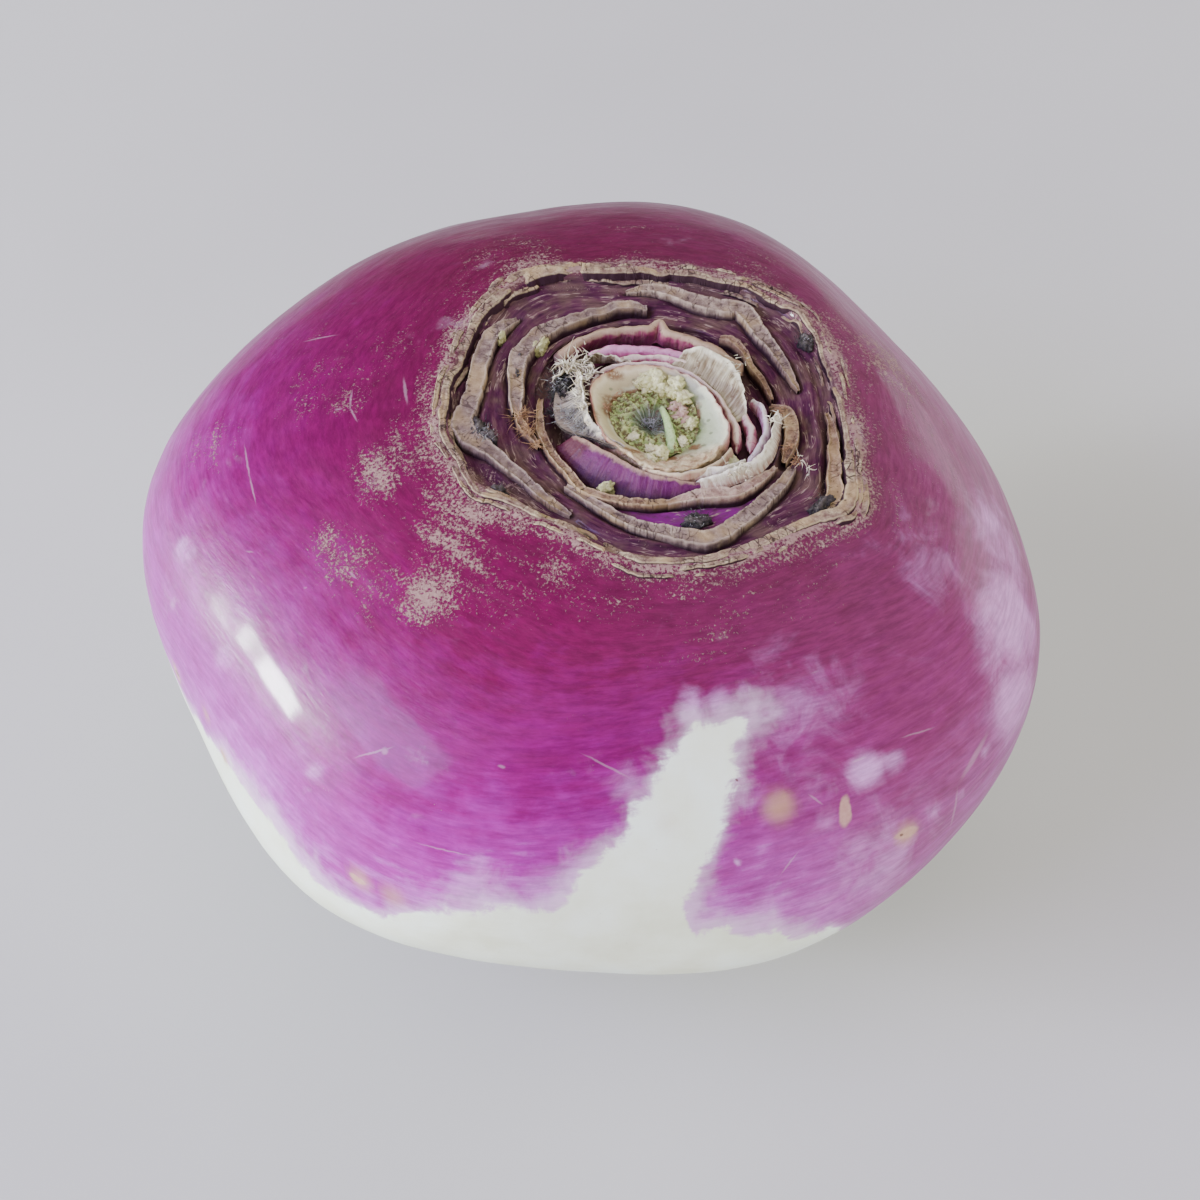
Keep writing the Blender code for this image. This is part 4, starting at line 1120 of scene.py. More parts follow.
def belly_edge(skin):
    """How far each point lies above the edge of the white belly, in millimetres along the skin."""
    seen = [skin.place_of(skin.seen_at(pixel)) for pixel in BELLY_EDGE_PIXELS]
    behind = [(math.radians(degrees), down) for degrees, down in BELLY_EDGE_BEHIND]
    marks = sorted((angle % FULL_TURN, down) for angle, down in seen + behind)
    angles, downs = np.transpose(marks)
    return (np.interp(skin.angle, angles, downs, period=FULL_TURN) - skin.down) / MM


def add_floor():
    plane = bmesh.new()
    bmesh.ops.create_circle(plane, cap_ends=True, segments=96, radius=3.0)
    mesh = bpy.data.meshes.new("floor")
    plane.to_mesh(mesh)
    plane.free()
    floor = bpy.data.objects.new("floor", mesh)
    bpy.context.scene.collection.objects.link(floor)
    paint = Paint("pale_floor", Roughness=0.75)
    paint.set("Base Color", paint.mix(paint.noise(60.0, 2.0), (0.44, 0.43, 0.41), (0.50, 0.49, 0.47)))
    mesh.materials.append(paint.material)


def add_lights():
    world = bpy.data.worlds.new("studio")
    world.use_nodes = True
    world.node_tree.nodes["Background"].inputs["Color"].default_value = (*SKY_COLOUR, 1)
    bpy.context.scene.world = world
    world.cycles_visibility.glossy = False
    for name, (bearing, size, power, colour) in {**SHINING_LAMPS, **FILL_LAMPS}.items():
        round_, up, far = math.radians(bearing[0]), math.radians(bearing[1]), bearing[2]
        way = Vector((math.cos(up) * math.cos(round_), math.cos(up) * math.sin(round_), math.sin(up)))
        lamp = bpy.data.objects.new(name, bpy.data.lights.new(name, "AREA"))
        lamp.data.shape = "RECTANGLE"
        lamp.data.size, lamp.data.size_y = size
        lamp.data.energy = power
        lamp.data.color = colour
        lamp.location = LAMP_AIM + way * far
        lamp.rotation_euler = (-way).to_track_quat("-Z", "Y").to_euler()
        lamp.visible_glossy = name in SHINING_LAMPS
        bpy.context.scene.collection.objects.link(lamp)


def all_scars():
    return {**GREY_SCARS, **TAN_SCARS, **PINK_SCARS}


def scar_line(path):
    return respace(catmull(path, 12), 0.12)


def rim_points():
    return [(far * math.cos(math.radians(d)), far * math.sin(math.radians(d))) for d, far in RIM_PATH_MM]


def from_crown_line(skin, line_mm, z_mm, within_r):
    """How far each point lies outside a band of x, y and half width, looked for out to a radius."""
    near = skin.r < within_r
    spots = in_world(rows_of(line_mm[:, 0], line_mm[:, 1], z_mm))
    gap = np.full(len(skin.points), FAR_MM)
    gap[near] = skin.near_line(list(spots), line_mm[:, 2], near)
    return gap


def relief(points, size_and_rise, octaves=3):
    size, rise = size_and_rise
    return rise * NOISE.rough(points, size, octaves)


def skin_relief(skin, flow, inside, gap):
    """How far the real skin stands out from the plain form: soft lumps, fine rings, furrows by the scars."""
    off_table = smooth(skin.z, *OFF_TABLE_Z)
    outside = smooth(skin.r, *OUTSIDE_RIM_R)
    tail = (1 - smooth(skin.z, *TAIL_RINGS_Z)) * (skin.z < EQUATOR_Z)
    lumps = relief(skin.points, SKIN_LUMPS) * outside
    rings = relief(flow, SKIN_RINGS, 2) * outside
    tail_rings = relief(flow, TAIL_RINGS) * tail
    furrows = relief(flow * FURROWS_DRAWN_OUT, FURROWS) * inside
    trench = -TRENCH_DEPTH * (1 - smooth(gap, 0.0, TRENCH_MM)) * inside
    return (lumps + rings + tail_rings) * off_table + furrows + trench


def window_mound(skin):
    """How far the faint swelling under the window's reflection rises at each point."""
    pixel, half, rise = SHINING_MOUND
    far = np.linalg.norm(skin.points - skin.seen_at(pixel), axis=1) / MM
    return rise * MM * np.exp(-0.5 * (far / half) ** 2)


def scar_gap(skin):
    """How far each point lies outside the nearest scar."""
    gap = np.full(len(skin.points), FAR_MM)
    for _, path in all_scars().values():
        gap = np.minimum(gap, from_crown_line(skin, scar_line(path)[::8], GROUND_Z_MM, CROWN_REACH_R))
    return gap


def shore_and_level(skin):
    """How far each point lies outside the white, and what share of the way it lies from rim to white."""
    above = belly_edge(skin)
    lumps = NOISE.rough(skin.points, SHORE_LUMP, 3)
    streak = skin.near_line([skin.seen_at(pixel) for pixel, _ in STREAK], [half for _, half in STREAK])
    shore = np.minimum(above + BELLY_WANDER_MM * lumps, streak + STREAK_WANDER_MM * lumps)
    edge = above * MM + skin.down
    level = np.clip((skin.down - skin.rim_down) / (edge - skin.rim_down), -1, 1.5)
    return np.clip(0.5 + shore / (2 * SHORE_MM), 0, 1), level


def make_skin(skin):
    shore, level = shore_and_level(skin)
    gap = scar_gap(skin)
    rim = np.pad(catmull(rim_points(), 6, closed=True), ((0, 0), (0, 1)))
    rim_gap = from_crown_line(skin, rim, RIM_Z_MM, RIM_REACH_R)
    violet = from_crown_line(skin, np.array(VIOLET_GROUND), VIOLET_Z_MM, CROWN_REACH_R)
    inside = smooth(skin.rim_down - skin.down, *INSIDE_RIM)
    by_rim = (1 - smooth(rim_gap, *DUSTY_RIM_MM)) * (1 - LESS_DUST_INSIDE * inside)
    flow = rows_of(np.cos(skin.angle) * FLOW_R, np.sin(skin.angle) * FLOW_R, skin.down)
    rise = skin_relief(skin, flow, inside, gap) + window_mound(skin)
    points = skin.points + skin.normals() * rise[:, None]
    mesh = grid_mesh("turnip_skin", points, skin.rows, SKIN_SEGMENTS, closed=True)
    x, y = skin.points[:, 0], skin.points[:, 1]
    for name, values in {
        "shore": shore,
        "level": level,
        "flow": flow,
        # Lilac patches, partly painted reflection along the edges
        "lilac": skin.patches(LILAC_AND_SHEEN_PATCHES),
        "tan": skin.patches(TAN_PATCHES),
        "dust": np.maximum(skin.patches(DUST_PATCHES, DUST_REACH), by_rim),
        "inside": inside,
        "gap": gap,
        "rim_gap": rim_gap,
        "violet": 1 - smooth(violet, *VIOLET_EDGE_MM),
        "east": smooth(x, *EAST_X),
        "north": smooth(y, *NORTH_Y),
        "west": smooth(-x, *WEST_X),
        "tail": (1 - smooth(skin.z, *BROWN_TAIL_Z)) * (skin.z < EQUATOR_Z),
        "cut": ((skin.z < CUT_Z) & (skin.r < TAIL_R)).astype(float),
    }.items():
        set_field(mesh, name, values)
    weld(mesh)
    return mesh


def purple_colour(paint, flow):
    """The purple of the shoulder: streaked round the root, paler down it, and browner behind, with lilac
    clouds that are partly painted reflection at its edges.
    """
    mottle = paint.centred(paint.noise(3.2, 5.0, 0.6), 0.42)
    streaks = paint.centred(paint.noise(1.1, 5.0, 0.65, flow), 0.44)
    tone = paint.sum(paint.field("level"), mottle, streaks)
    violet = paint.ramp(tone, *FRONT_TONES)
    # Tones of the west, north and east sides; the east's paler lilac is partly painted reflection of the
    # floor
    for side, amount, tones in SIDE_TONES:
        violet = paint.mix(paint.times(paint.field(side), amount), violet, paint.ramp(tone, *tones))
    # Lilac clouds over the purple: the skin's own mottling, and painted reflection where the lilac patches
    # lie along the edges
    clouds = paint.sum(paint.field("lilac"), paint.centred(paint.noise(4.5, 6.0, 0.62, distortion=0.6), 1.2))
    violet = paint.mix(paint.between(clouds, 0.16, 1.15, 0.0, 0.85), violet, CLOUD_LILAC_AND_SHEEN)
    brushed = paint.between(paint.noise(0.42, 4.0, 0.7, flow), 0.25, 0.75, 0.80, 1.22)
    shade = paint.node("CombineColor", None, Red=brushed, Green=brushed, Blue=brushed).outputs[0]
    return paint.mix(1.0, violet, shade, "MULTIPLY")


def ground_colour(paint, flow):
    """The ground between the scars: dark, drawn out in rings, with pale hairlines and a violet part."""
    rings = paint.stretched(flow, 0.38, 0.38, 1.0)
    ground = paint.ramp(paint.noise(0.62, 6.0, 0.68, rings), *GROUND_TONES)
    brown = paint.ramp(paint.noise(0.5, 5.0, 0.68, rings), *GROUND_BROWNS)
    ground = paint.mix(paint.between(paint.noise(3.6, 3.0), 0.42, 0.62, 0.0, 0.8), ground, brown)
    bright = paint.times(paint.field("violet"), paint.between(paint.noise(0.9, 4.0, 0.6, flow), 0.25, 0.6))
    ground = paint.mix(bright, ground, GROUND_VIOLET)
    hair = paint.math("ABSOLUTE", paint.centred(paint.noise(1.0, 3.0, 0.6, rings), 1.0))
    some = paint.between(paint.noise(2.2, 2.0), 0.46, 0.60)
    drawn = paint.times(paint.between(hair, 0.006, 0.022, 1.0, 0.0), some)
    ground = paint.mix(paint.times(drawn, 0.75), ground, GROUND_HAIR)
    return paint.mix(paint.between(paint.field("gap"), 0.45, 0.0, 0.0, 0.85), ground, GROUND_SHADE)


def belly_colour(paint, flow):
    """The white belly, with faint marks round it, and brown rings where it narrows to the tail."""
    white = paint.ramp(paint.noise(8.0, 5.0), *BELLY_WHITES)
    for size, width, share, amount in BELLY_DASHES:
        marks = paint.dashes(size, paint.stretched(flow, 0.7, 0.7, 1.0), width, share)
        white = paint.mix(paint.times(marks, amount), white, BELLY_DASH)
    rings = paint.ramp(paint.noise(0.9, 6.0, 0.7, flow), *TAIL_TONES)
    tail = paint.sum(paint.field("tail"), paint.centred(paint.noise(2.2, 5.0, 0.65, flow), 0.9))
    white = paint.mix(paint.between(tail, 0.35, 1.05, 0.0, 0.85), white, rings)
    return paint.mix(paint.field("cut"), white, paint.ramp(paint.noise(0.8, 4.0, 0.6, flow), *CUT_TONES))


def growing_colour(paint, flow):
    """The skin as it grew: purple with pores and hairlines, fading into the white through a pale fringe."""
    violet = purple_colour(paint, flow)
    pores = paint.dashes(3.4, flow, 0.045, 0.4)
    violet = paint.mix(paint.times(pores, 0.30), violet, PORE)
    lines = paint.dashes(11.0, paint.stretched(flow, 0.32, 0.32, 1.0), 0.016, 0.6)
    violet = paint.mix(paint.times(lines, 0.22), violet, HAIRLINE)
    shore = paint.sum(
        paint.field("shore"), paint.centred(paint.noise(3.0, 6.0, 0.62, distortion=0.8), 0.46),
        paint.centred(paint.noise(0.9, 5.0, 0.65, flow), 0.26),
    )
    fringe = paint.mix(0.55, violet, FRINGE)
    colour = paint.mix(paint.between(shore, 0.40, 0.52), belly_colour(paint, flow), fringe)
    fading = paint.between(paint.sum(shore, paint.centred(paint.noise(8.0, 4.0, 0.6), 0.9)), 0.40, 0.86)
    return paint.mix(paint.times(fading, paint.between(shore, 0.45, 0.56)), colour, violet)


def small_marks(paint, skin, colour):
    """The scratches, scabs and dark dots, over a colour."""
    wander = paint.wander(0.8, 0.12)
    crust = paint.mix(paint.noise(0.5), *CRUST)
    for places, moved, soft, amount, tint in (
        (SCRATCHES, wander, 0.5, 0.28, SCRATCH),
        (SCABS, paint.wander(1.4, 0.35), 0.25, 0.75, crust),
        (DARK_DOTS, wander, 0.3, 0.8, DARK_DOT),
    ):
        marks = paint.marks(moved, [skin.mark(*place) for place in places], soft)
        colour = paint.mix(paint.times(marks, amount), colour, tint)
    return colour


def skin_paint(skin):
    paint = Paint("turnip_skin", Specular_IOR_Level=0.20, Coat_Weight=0.22, Coat_Roughness=0.11)
    flow = paint.weave("flow")
    colour = growing_colour(paint, flow)
    colour = paint.mix(paint.times(paint.field("tan"), 0.75), colour, TAN_SPOT)
    colour = paint.mix(paint.field("inside"), colour, ground_colour(paint, flow))
    speck = paint.sum(paint.noise(0.30, 3.0, 0.75), paint.times(paint.noise(1.5, 3.0, 0.6, flow), 0.55))
    dust = paint.between(paint.sum(speck, paint.times(paint.field("dust"), 0.34)), 1.01, 1.15)
    colour = paint.mix(paint.times(dust, 0.85), colour, paint.mix(paint.noise(0.5, 3.0), *POWDER))
    by_rim = paint.sum(paint.field("rim_gap"), paint.centred(speck, 1.6))
    bark = paint.times(paint.between(by_rim, 0.9, 0.2), 0.9)
    fibrous = paint.noise(0.4, 5.0, 0.7, paint.stretched(flow, 0.5, 0.5, 1.0))
    colour = paint.mix(bark, colour, paint.ramp(fibrous, *BARK_TONES))
    rough = paint.math("MAXIMUM", dust, bark)
    dull = paint.math("MAXIMUM", rough, paint.field("inside"))
    sheen = paint.between(paint.noise(1.3, 4.0, 0.6, flow), 0.3, 0.7, 0.34, 0.50)
    return paint.finish(
        small_marks(paint, skin, colour), paint.math("MAXIMUM", sheen, paint.times(dull, 0.80)),
        (paint.noise(1.6, 3.0), 0.05), (paint.noise(0.35, 3.0, 0.6, flow), 0.04), (rough, 0.06),
    )


def cork_relief(along, across, seed):
    """How cracked dried cork is, from 0 to 1. The cracks run mostly across it, and in some parts only."""
    place = rows_of(along, across, float(seed))
    shifted = place + 0.30 * NOISE.at(place, 0.7)[:, None]
    bars = hump(NOISE.at(shifted * (1.0, 0.28, 1.0), 0.75), 0.0, 0.055)
    nets = hump(NOISE.at(shifted * (1.0, 0.8, 1.0) + 31, 1.1), 0.0, 0.045)
    parts = smooth(NOISE.at(place + 9, 3.2), -0.25, 0.25)
    return np.maximum(bars * parts, 0.7 * nets).reshape(along.shape)


def ridge_mesh(name, line, section, top, rise, seed, closed=False):
    """Cork along a line of x, y and half width: the height of its upper side, and its rise over its foot."""
    x, y, half = line.T
    along = along_line(line[:, :2])
    side = sideways(np.vstack([line[-2], line, line[1]]))[1:-1] if closed else sideways(line)
    across, up = np.transpose(section)
    spread = half[:, None] * across
    px, py = x[:, None] + side[:, :1] * spread, y[:, None] + side[:, 1:] * spread
    distance = np.broadcast_to(along[:, None], px.shape)
    crack = cork_relief(distance, spread, seed)
    place = rows_of(px, py, 5.0 * seed)
    lumps = NOISE.rough(place, CORK_LUMP_MM, 3).reshape(px.shape)
    on_top = smooth(up, 0.2, 0.8)
    relief_mm = CORK_LUMP_RISE_MM * lumps - CORK_CRACK_DEPTH_MM * crack
    pz = np.reshape(top, (-1, 1)) + rise * (up - 1) + on_top * relief_mm
    shift = CORK_WANDER_MM * NOISE.at(place + 77, 0.5).reshape(px.shape)
    points = rows_of(px + side[:, :1] * shift, py + side[:, 1:] * shift, pz)
    mesh = grid_mesh(name, in_world(points), len(line), len(across))
    set_field(mesh, "crack", (crack * on_top).ravel())
    set_field(mesh, "across", np.tile(across, len(line)))
    set_field(mesh, "up", np.tile(up, len(line)))
    set_field(mesh, "weave", rows_of(distance, spread, float(seed)) * MM)
    return mesh


def make_scar(name, top, path, number):
    """A scar, which wavers a little and sinks where it is narrow."""
    line = scar_line(path)
    x, y, half = line.T
    wobble = NOISE.at(rows_of(x, y, number * 3.0), 1.6)
    line[:, :2] += sideways(line) * SCAR_WOBBLE_MM * wobble[:, None]
    half *= 1 + 0.20 * NOISE.rough(rows_of(x, y, number * 7.0), 1.4, 3)
    height = top + SCAR_WAVE_MM * wobble - SCAR_TIP_DROP_MM * (1 - smooth(half, *SCAR_TIP_HALF_MM))
    return ridge_mesh(name, line, SCAR_SECTION, height, SCAR_RISE_MM, number)


def make_strand(skin, name, number, outside, share, shown):
    """One strand of the rim, which sinks into the skin where it breaks off."""
    path = respace(catmull(rim_points(), 12, closed=True), 0.15)
    degrees = np.degrees(np.arctan2(path[:, 1], path[:, 0])) % 360
    at, halves = np.transpose(RIM_HALF_MM)
    ring = rows_of(*path.T, number * 6.0)
    presence = smooth(NOISE.rough(ring, 4.5, 3) + shown, -0.15, 0.25)
    half = np.interp(degrees, at, halves, period=360) * share * (1 + 0.35 * NOISE.rough(ring + 3, 1.6, 3))
    outward = path / length_of(path)
    wobble = RIM_WOBBLE_MM * NOISE.rough(ring + 9, 2.6, 3)
    path = path + outward * (wobble + outside)[:, None]
    path[-1], half[-1], presence[-1] = path[0], half[0], presence[0]
    ground = np.array([skin.height_mm(x, y) for x, y in path])
    height = ground + RIM_RISE_MM - RIM_SINK_MM * (1 - presence)
    line = rows_of(*path.T, half * (0.45 + 0.55 * presence))
    return ridge_mesh(name, line, RIM_SECTION, height, RIM_RISE_MM, 40 + number, closed=True)


def cork_paint(name, dark, mid, light, cracked):
    """Dried cork: mottled, pale along its lips, with painted shade down its sides to its foot, and fine
    cracks in parts.
    """
    paint = Paint(name, Specular_IOR_Level=0.25)
    weave = paint.weave("weave")
    tone = paint.sum(
        paint.noise(0.8, 5.0, 0.66), paint.centred(paint.noise(0.20, 3.0, 0.6, weave), 0.36),
        paint.centred(paint.noise(3.2, 2.0), 0.45),
    )
    colour = paint.ramp(tone, (0.28, dark), (0.50, mid), (0.74, light))
    warm = paint.between(paint.noise(4.0, 2.0, place=paint.wander(3.0, 0.5)), 0.48, 0.66, 0.0, 0.6)
    colour = paint.mix(warm, colour, CORK_WARM)
    across = paint.math("ABSOLUTE", paint.field("across"))
    lip = paint.times(paint.between(across, 0.62, 0.88), paint.between(across, 1.03, 0.97))
    colour = paint.mix(paint.times(lip, 0.55), colour, light)
    edges = paint.cracks(0.75, paint.stretched(weave, 1.0, 0.5, 1.0))
    some = paint.between(paint.noise(2.4, 2.0), 0.44, 0.60)
    fine = paint.times(paint.between(edges, 0.015, 0.07, 1.0, 0.0), some)
    colour = paint.mix(paint.times(fine, cracked), colour, CORK_NET)
    colour = paint.mix(paint.between(paint.field("crack"), 0.3, 0.95, 0.0, 0.8), colour, CORK_CRACK)
    # Painted shade down the cork's sides to its foot
    colour = paint.mix(paint.between(paint.field("up"), 0.80, 0.1), colour, CORK_FOOT_SHADE)
    return paint.finish(
        colour, paint.between(paint.noise(0.5), 0.3, 0.7, 0.75, 0.92),
        (paint.noise(0.16, 3.0, 0.65, weave), 0.035), (fine, -0.05), (paint.noise(0.5, 2.0), 0.06),
    )


def add_cork(skin):
    number = 0
    for paint_name, (scars, *looks) in CORKS.items():
        paint = cork_paint(paint_name, *looks)
        for name, (top, path) in scars.items():
            number += 1
            add_piece(name, make_scar(name, top, path, number), paint)
    rim = cork_paint("rim_cork", *RIM_CORK)
    for number, (name, strand) in enumerate(RIM_STRANDS.items(), 1):
        add_piece(name, make_strand(skin, name, number, *strand), rim)


def outline_about(points, middle, angles):
    """How far a closed outline lies from a middle at each angle."""
    line = catmull(points, 8, closed=True) - middle
    return np.interp(angles, np.arctan2(line[:, 1], line[:, 0]), np.hypot(*line.T), period=FULL_TURN)


def make_cup():
    """The base of the youngest stalks, cut through: a cup whose inside slopes down to the growing point."""
    angle = np.arange(CUP_SEGMENTS) * (FULL_TURN / CUP_SEGMENTS)
    rim, hole = outline_about(CUP_RIM, CUP_MIDDLE, angle), outline_about(CUP_HOLE, CUP_MIDDLE, angle)
    out, up = np.transpose(respace(catmull(CUP_SECTION, 4), 0.045))[:, :, None]
    r = hole + (rim - hole) * out
    level = CUP_RIM_Z + CUP_WAVE_MM * NOISE.at(rows_of(np.cos(angle) * 6, np.sin(angle) * 6, 0.0), 1.1)
    z = CUP_HOLE_Z + (level - CUP_HOLE_Z) * up
    x, y = CUP_MIDDLE[0] + r * np.cos(angle), CUP_MIDDLE[1] + r * np.sin(angle)
    points = rows_of(x, y, z)
    ragged = 0.10 + 0.22 * hump(out, 0.02, 0.14) + 0.12 * hump(out, 1.0, 0.10) + 0.14 * smooth(-y, 5.5, 7.5)
    drift = np.stack([NOISE.rough(points + i * 7, 1.1, 4) for i in range(3)], axis=-1)
    points = points + ragged.reshape(-1, 1) * drift
    mesh = grid_mesh("cup_of_stalk", in_world(points), len(z), CUP_SEGMENTS, closed=True)
    for name, values in {
        "out": np.broadcast_to(out, z.shape),
        "inner": np.broadcast_to(np.arange(len(z))[:, None] / len(z), z.shape),
        "east": smooth(x, *CUP_EAST_MM),
        "front": smooth(-y, *CUP_FRONT_MM),
    }.items():
        set_field(mesh, name, values.ravel())
    return mesh


def crown_marks(places, z_mm, half_up_mm):
    """Marks for Paint.marks at crown places given as x, y and half sizes."""
    return [
        (Vector(in_world((x, y, z_mm))), (0, 0, 0), (across * MM, along * MM, half_up_mm * MM))
        for x, y, across, along in places
    ]


def cup_paint():
    paint = Paint("cut_flesh", Specular_IOR_Level=0.4)
    out = paint.sum(paint.field("out"), paint.centred(paint.noise(0.9, 4.0), 0.24))
    colour = paint.mix(paint.field("east"), paint.ramp(out, *CUP_FLESH), paint.ramp(out, *CUP_GREENS))
    torn = paint.times(paint.field("front"), paint.between(paint.field("out"), 0.05, 0.35))
    colour = paint.mix(torn, colour, paint.ramp(paint.noise(0.75, 6.0, 0.7), *CUP_TORN))
    outside = paint.between(paint.field("inner"), 0.25, 0.17)
    colour = paint.mix(outside, colour, paint.ramp(paint.noise(1.6, 4.0), *CUP_OUTSIDE))
    grown = np.array(CUP_STAINS) * (1, 1, CUP_STAIN_SPREAD, CUP_STAIN_SPREAD)
    stains = paint.marks(paint.wander(1.1, 0.45), crown_marks(grown, *CUP_STAIN_Z), 0.45)
    stained = paint.times(stains, paint.between(paint.noise(0.4, 4.0, 0.7), 0.30, 0.52))
    colour = paint.mix(paint.times(stained, 0.9), colour, CUP_STAIN)
    bruised = paint.between(paint.noise(0.6, 5.0, 0.7), 0.62, 0.76, 0.0, 0.5)
    colour = paint.mix(bruised, colour, CUP_BRUISE)
    veins = crown_marks([(*spot, *CUP_VEIN_HALF_MM) for spot in VEIN_DOTS], *CUP_VEIN_Z)
    dots = paint.marks(paint.wander(1.2, 0.10), veins, 0.45)
    colour = paint.mix(paint.times(dots, 0.7), colour, CUP_VEIN)
    rough = paint.between(paint.field("front"), 0.0, 1.0, 0.35, 1.0)
    return paint.finish(
        colour, paint.between(paint.noise(0.6), 0.3, 0.7, 0.38, 0.62),
        (paint.times(paint.noise(0.35, 5.0, 0.7), rough), 0.14), (paint.noise(0.9), 0.08),
    )


def make_heart():
    """The growing point: a crumbled green heap that rises round a small pit."""
    angle = np.arange(HEART_SEGMENTS) * (FULL_TURN / HEART_SEGMENTS)
    share = np.linspace(0, 1, HEART_RINGS)[:, None]
    edge = outline_about(CUP_HOLE, HEART_PIT, angle) * HEART_OVERLAP
    x, y = HEART_PIT[0] + share * edge * np.cos(angle), HEART_PIT[1] + share * edge * np.sin(angle)
    crumbs = np.abs(NOISE.rough(rows_of(x, y, 0.0), 1.0, 4)).reshape(x.shape)
    whorl = rows_of(np.cos(angle) * 1.6 + share * 0.2, np.sin(angle) * 1.6 + share * 0.2, share)
    leaves = hump(NOISE.at(whorl, 0.55), 0.0, 0.16).reshape(x.shape)
    spokes = rows_of(np.cos(angle) * 3.0, np.sin(angle) * 3.0, share)
    fibres = NOISE.rough(spokes, 0.42, 3).reshape(x.shape)
    z = HEART_FLOOR_Z + HEART_HEAP_MM * smooth(share, 0.04, 0.50)
    z = z + HEART_CRUMB_MM * crumbs * smooth(share, 0.15, 0.5)
    z = z + HEART_LEAF_MM * leaves * smooth(share, 0.2, 0.5)
    z = z + HEART_FIBRE_MM * fibres * hump(share, 0.30, 0.24)
    points = in_world(rows_of(x, y, z))
    mesh = grid_mesh("heart_growth", points, HEART_RINGS, HEART_SEGMENTS, closed=True)
    set_field(mesh, "share", np.repeat(share, HEART_SEGMENTS))
    # How high each point stands, which the paint uses for the heap's colours and its painted shade low down
    set_field(mesh, "height", ((z - HEART_FLOOR_Z) / HEART_TALL_MM).ravel())
    set_field(mesh, "spokes", spokes * MM)
    weld(mesh)
    return mesh


def heart_paint():
    paint = Paint("heart_green", Specular_IOR_Level=0.35)
    # Darker low in the heap and paler on its crests: partly its own colour, partly painted shade in the
    # hollows
    tone = paint.sum(paint.field("height"), paint.centred(paint.noise(0.5, 5.0, 0.65), 0.9))
    colour = paint.ramp(tone, *HEART_TONES)
    rays = paint.noise(0.5, 4.0, 0.65, paint.stretched(paint.weave("spokes"), 1.6, 1.6, 0.35))
    share = paint.field("share")
    colour = paint.mix(paint.between(share, 0.62, 0.30, 0.0, 0.9), colour, paint.ramp(rays, *HEART_RAYS))
    colour = paint.mix(paint.between(share, 0.16, 0.02, 0.0, 0.8), colour, HEART_PIT_SHADE)
    speckled = paint.sum(paint.noise(0.4, 4.0, 0.7), paint.times(share, 0.10))
    colour = paint.mix(paint.between(speckled, 0.54, 0.64, 0.0, 0.85), colour, HEART_SPECK)
    roughness = paint.between(paint.noise(0.5), 0.3, 0.7, 0.45, 0.75)
    return paint.finish(colour, roughness, (paint.noise(0.2, 4.0, 0.7), 0.10))


def lump_mesh(name, lumps, seed, rough):
    """Uneven lumps: each has x, y, z, half sizes along, across and up, and a turn in degrees."""
    ball = bmesh.new()
    bmesh.ops.create_icosphere(ball, subdivisions=4, radius=1.0)
    unit = np.array([v.co for v in ball.verts])
    faces = np.array([[v.index for v in f.verts] for f in ball.faces])
    ball.free()
    points, polygons = [], []
    for number, (x, y, z, *sizes, turn) in enumerate(lumps):
        place = unit + (number * 3.7, seed * 2.3, 0)
        swell = NOISE.rough(place, 0.9, 4) + 0.8 * np.abs(NOISE.at(place + 5, 0.5)) - 0.2
        grown = unit * (1 + rough * swell)[:, None]
        turned = np.array(Matrix.Rotation(math.radians(turn), 3, "Z"))
        polygons.append(faces + number * len(unit))
        points.append((grown * sizes) @ turned.T + (x, y, z))
    mesh = bpy.data.meshes.new(name)
    mesh.from_pydata(in_world(np.vstack(points)).tolist(), [], np.vstack(polygons).tolist())
    # How high on its lump each point is, which the paint uses for painted shade low down and painted light on
    # top
    set_field(mesh, "height", np.tile(0.5 + 0.5 * unit[:, 2], len(lumps)))
    return mesh


def lump_paint(name):
    """A soft lump's finish: darker low down as painted shade, paler on top as painted light, with stains."""
    dark, mid, light, stain, shine = LUMP_COLOURS[name]
    paint = Paint(name, Specular_IOR_Level=0.30)
    # Mottling, with painted shade low on the lump and painted light on its top
    tone = paint.sum(paint.noise(0.5, 5.0, 0.65), paint.centred(paint.field("height"), 0.5))
    colour = paint.ramp(tone, (0.28, dark), (0.50, mid), (0.80, light))
    spots = paint.noise(0.4, 4.0, 0.65, paint.wander(2.0, 1.0))
    colour = paint.mix(paint.between(spots, 0.56, 0.68, 0.0, 0.7), colour, stain)
    roughness = paint.between(paint.noise(0.5), 0.3, 0.7, *shine)
    return paint.finish(colour, roughness, (paint.noise(0.22, 4.0, 0.7), 0.09))


def add_heart():
    add_piece("heart_growth", make_heart(), heart_paint(), "heart_bud")
    line = respace(catmull(HEART_RIDGE, 10), 0.30)
    lumps = [
        (x, y, z - 0.30, 0.46, 0.26 + 0.34 * share, 0.42 + 0.1 * share, 95)
        for (x, y, z), share in zip(line, np.linspace(0, 1, len(line)))
    ]
    ridge = lump_mesh("heart_ridge", lumps, 3, RIDGE_UNEVEN)
    add_piece("heart_ridge", ridge, lump_paint("heart_ridge"))
    for name, places, looks in (
        ("heart_crumbs", CRUMBS, "pale_crumbs"), ("pink_crumbs", PINK_CRUMBS, "pink_crumbs"),
    ):
        crumbs = [
            (x, y, z - 0.25, size * 0.74, size * 0.56, size * 0.50, number * 67)
            for number, (x, y, z, size) in enumerate(places)
        ]
        add_piece(name, lump_mesh(name, crumbs, 5, CRUMB_UNEVEN), lump_paint(looks))


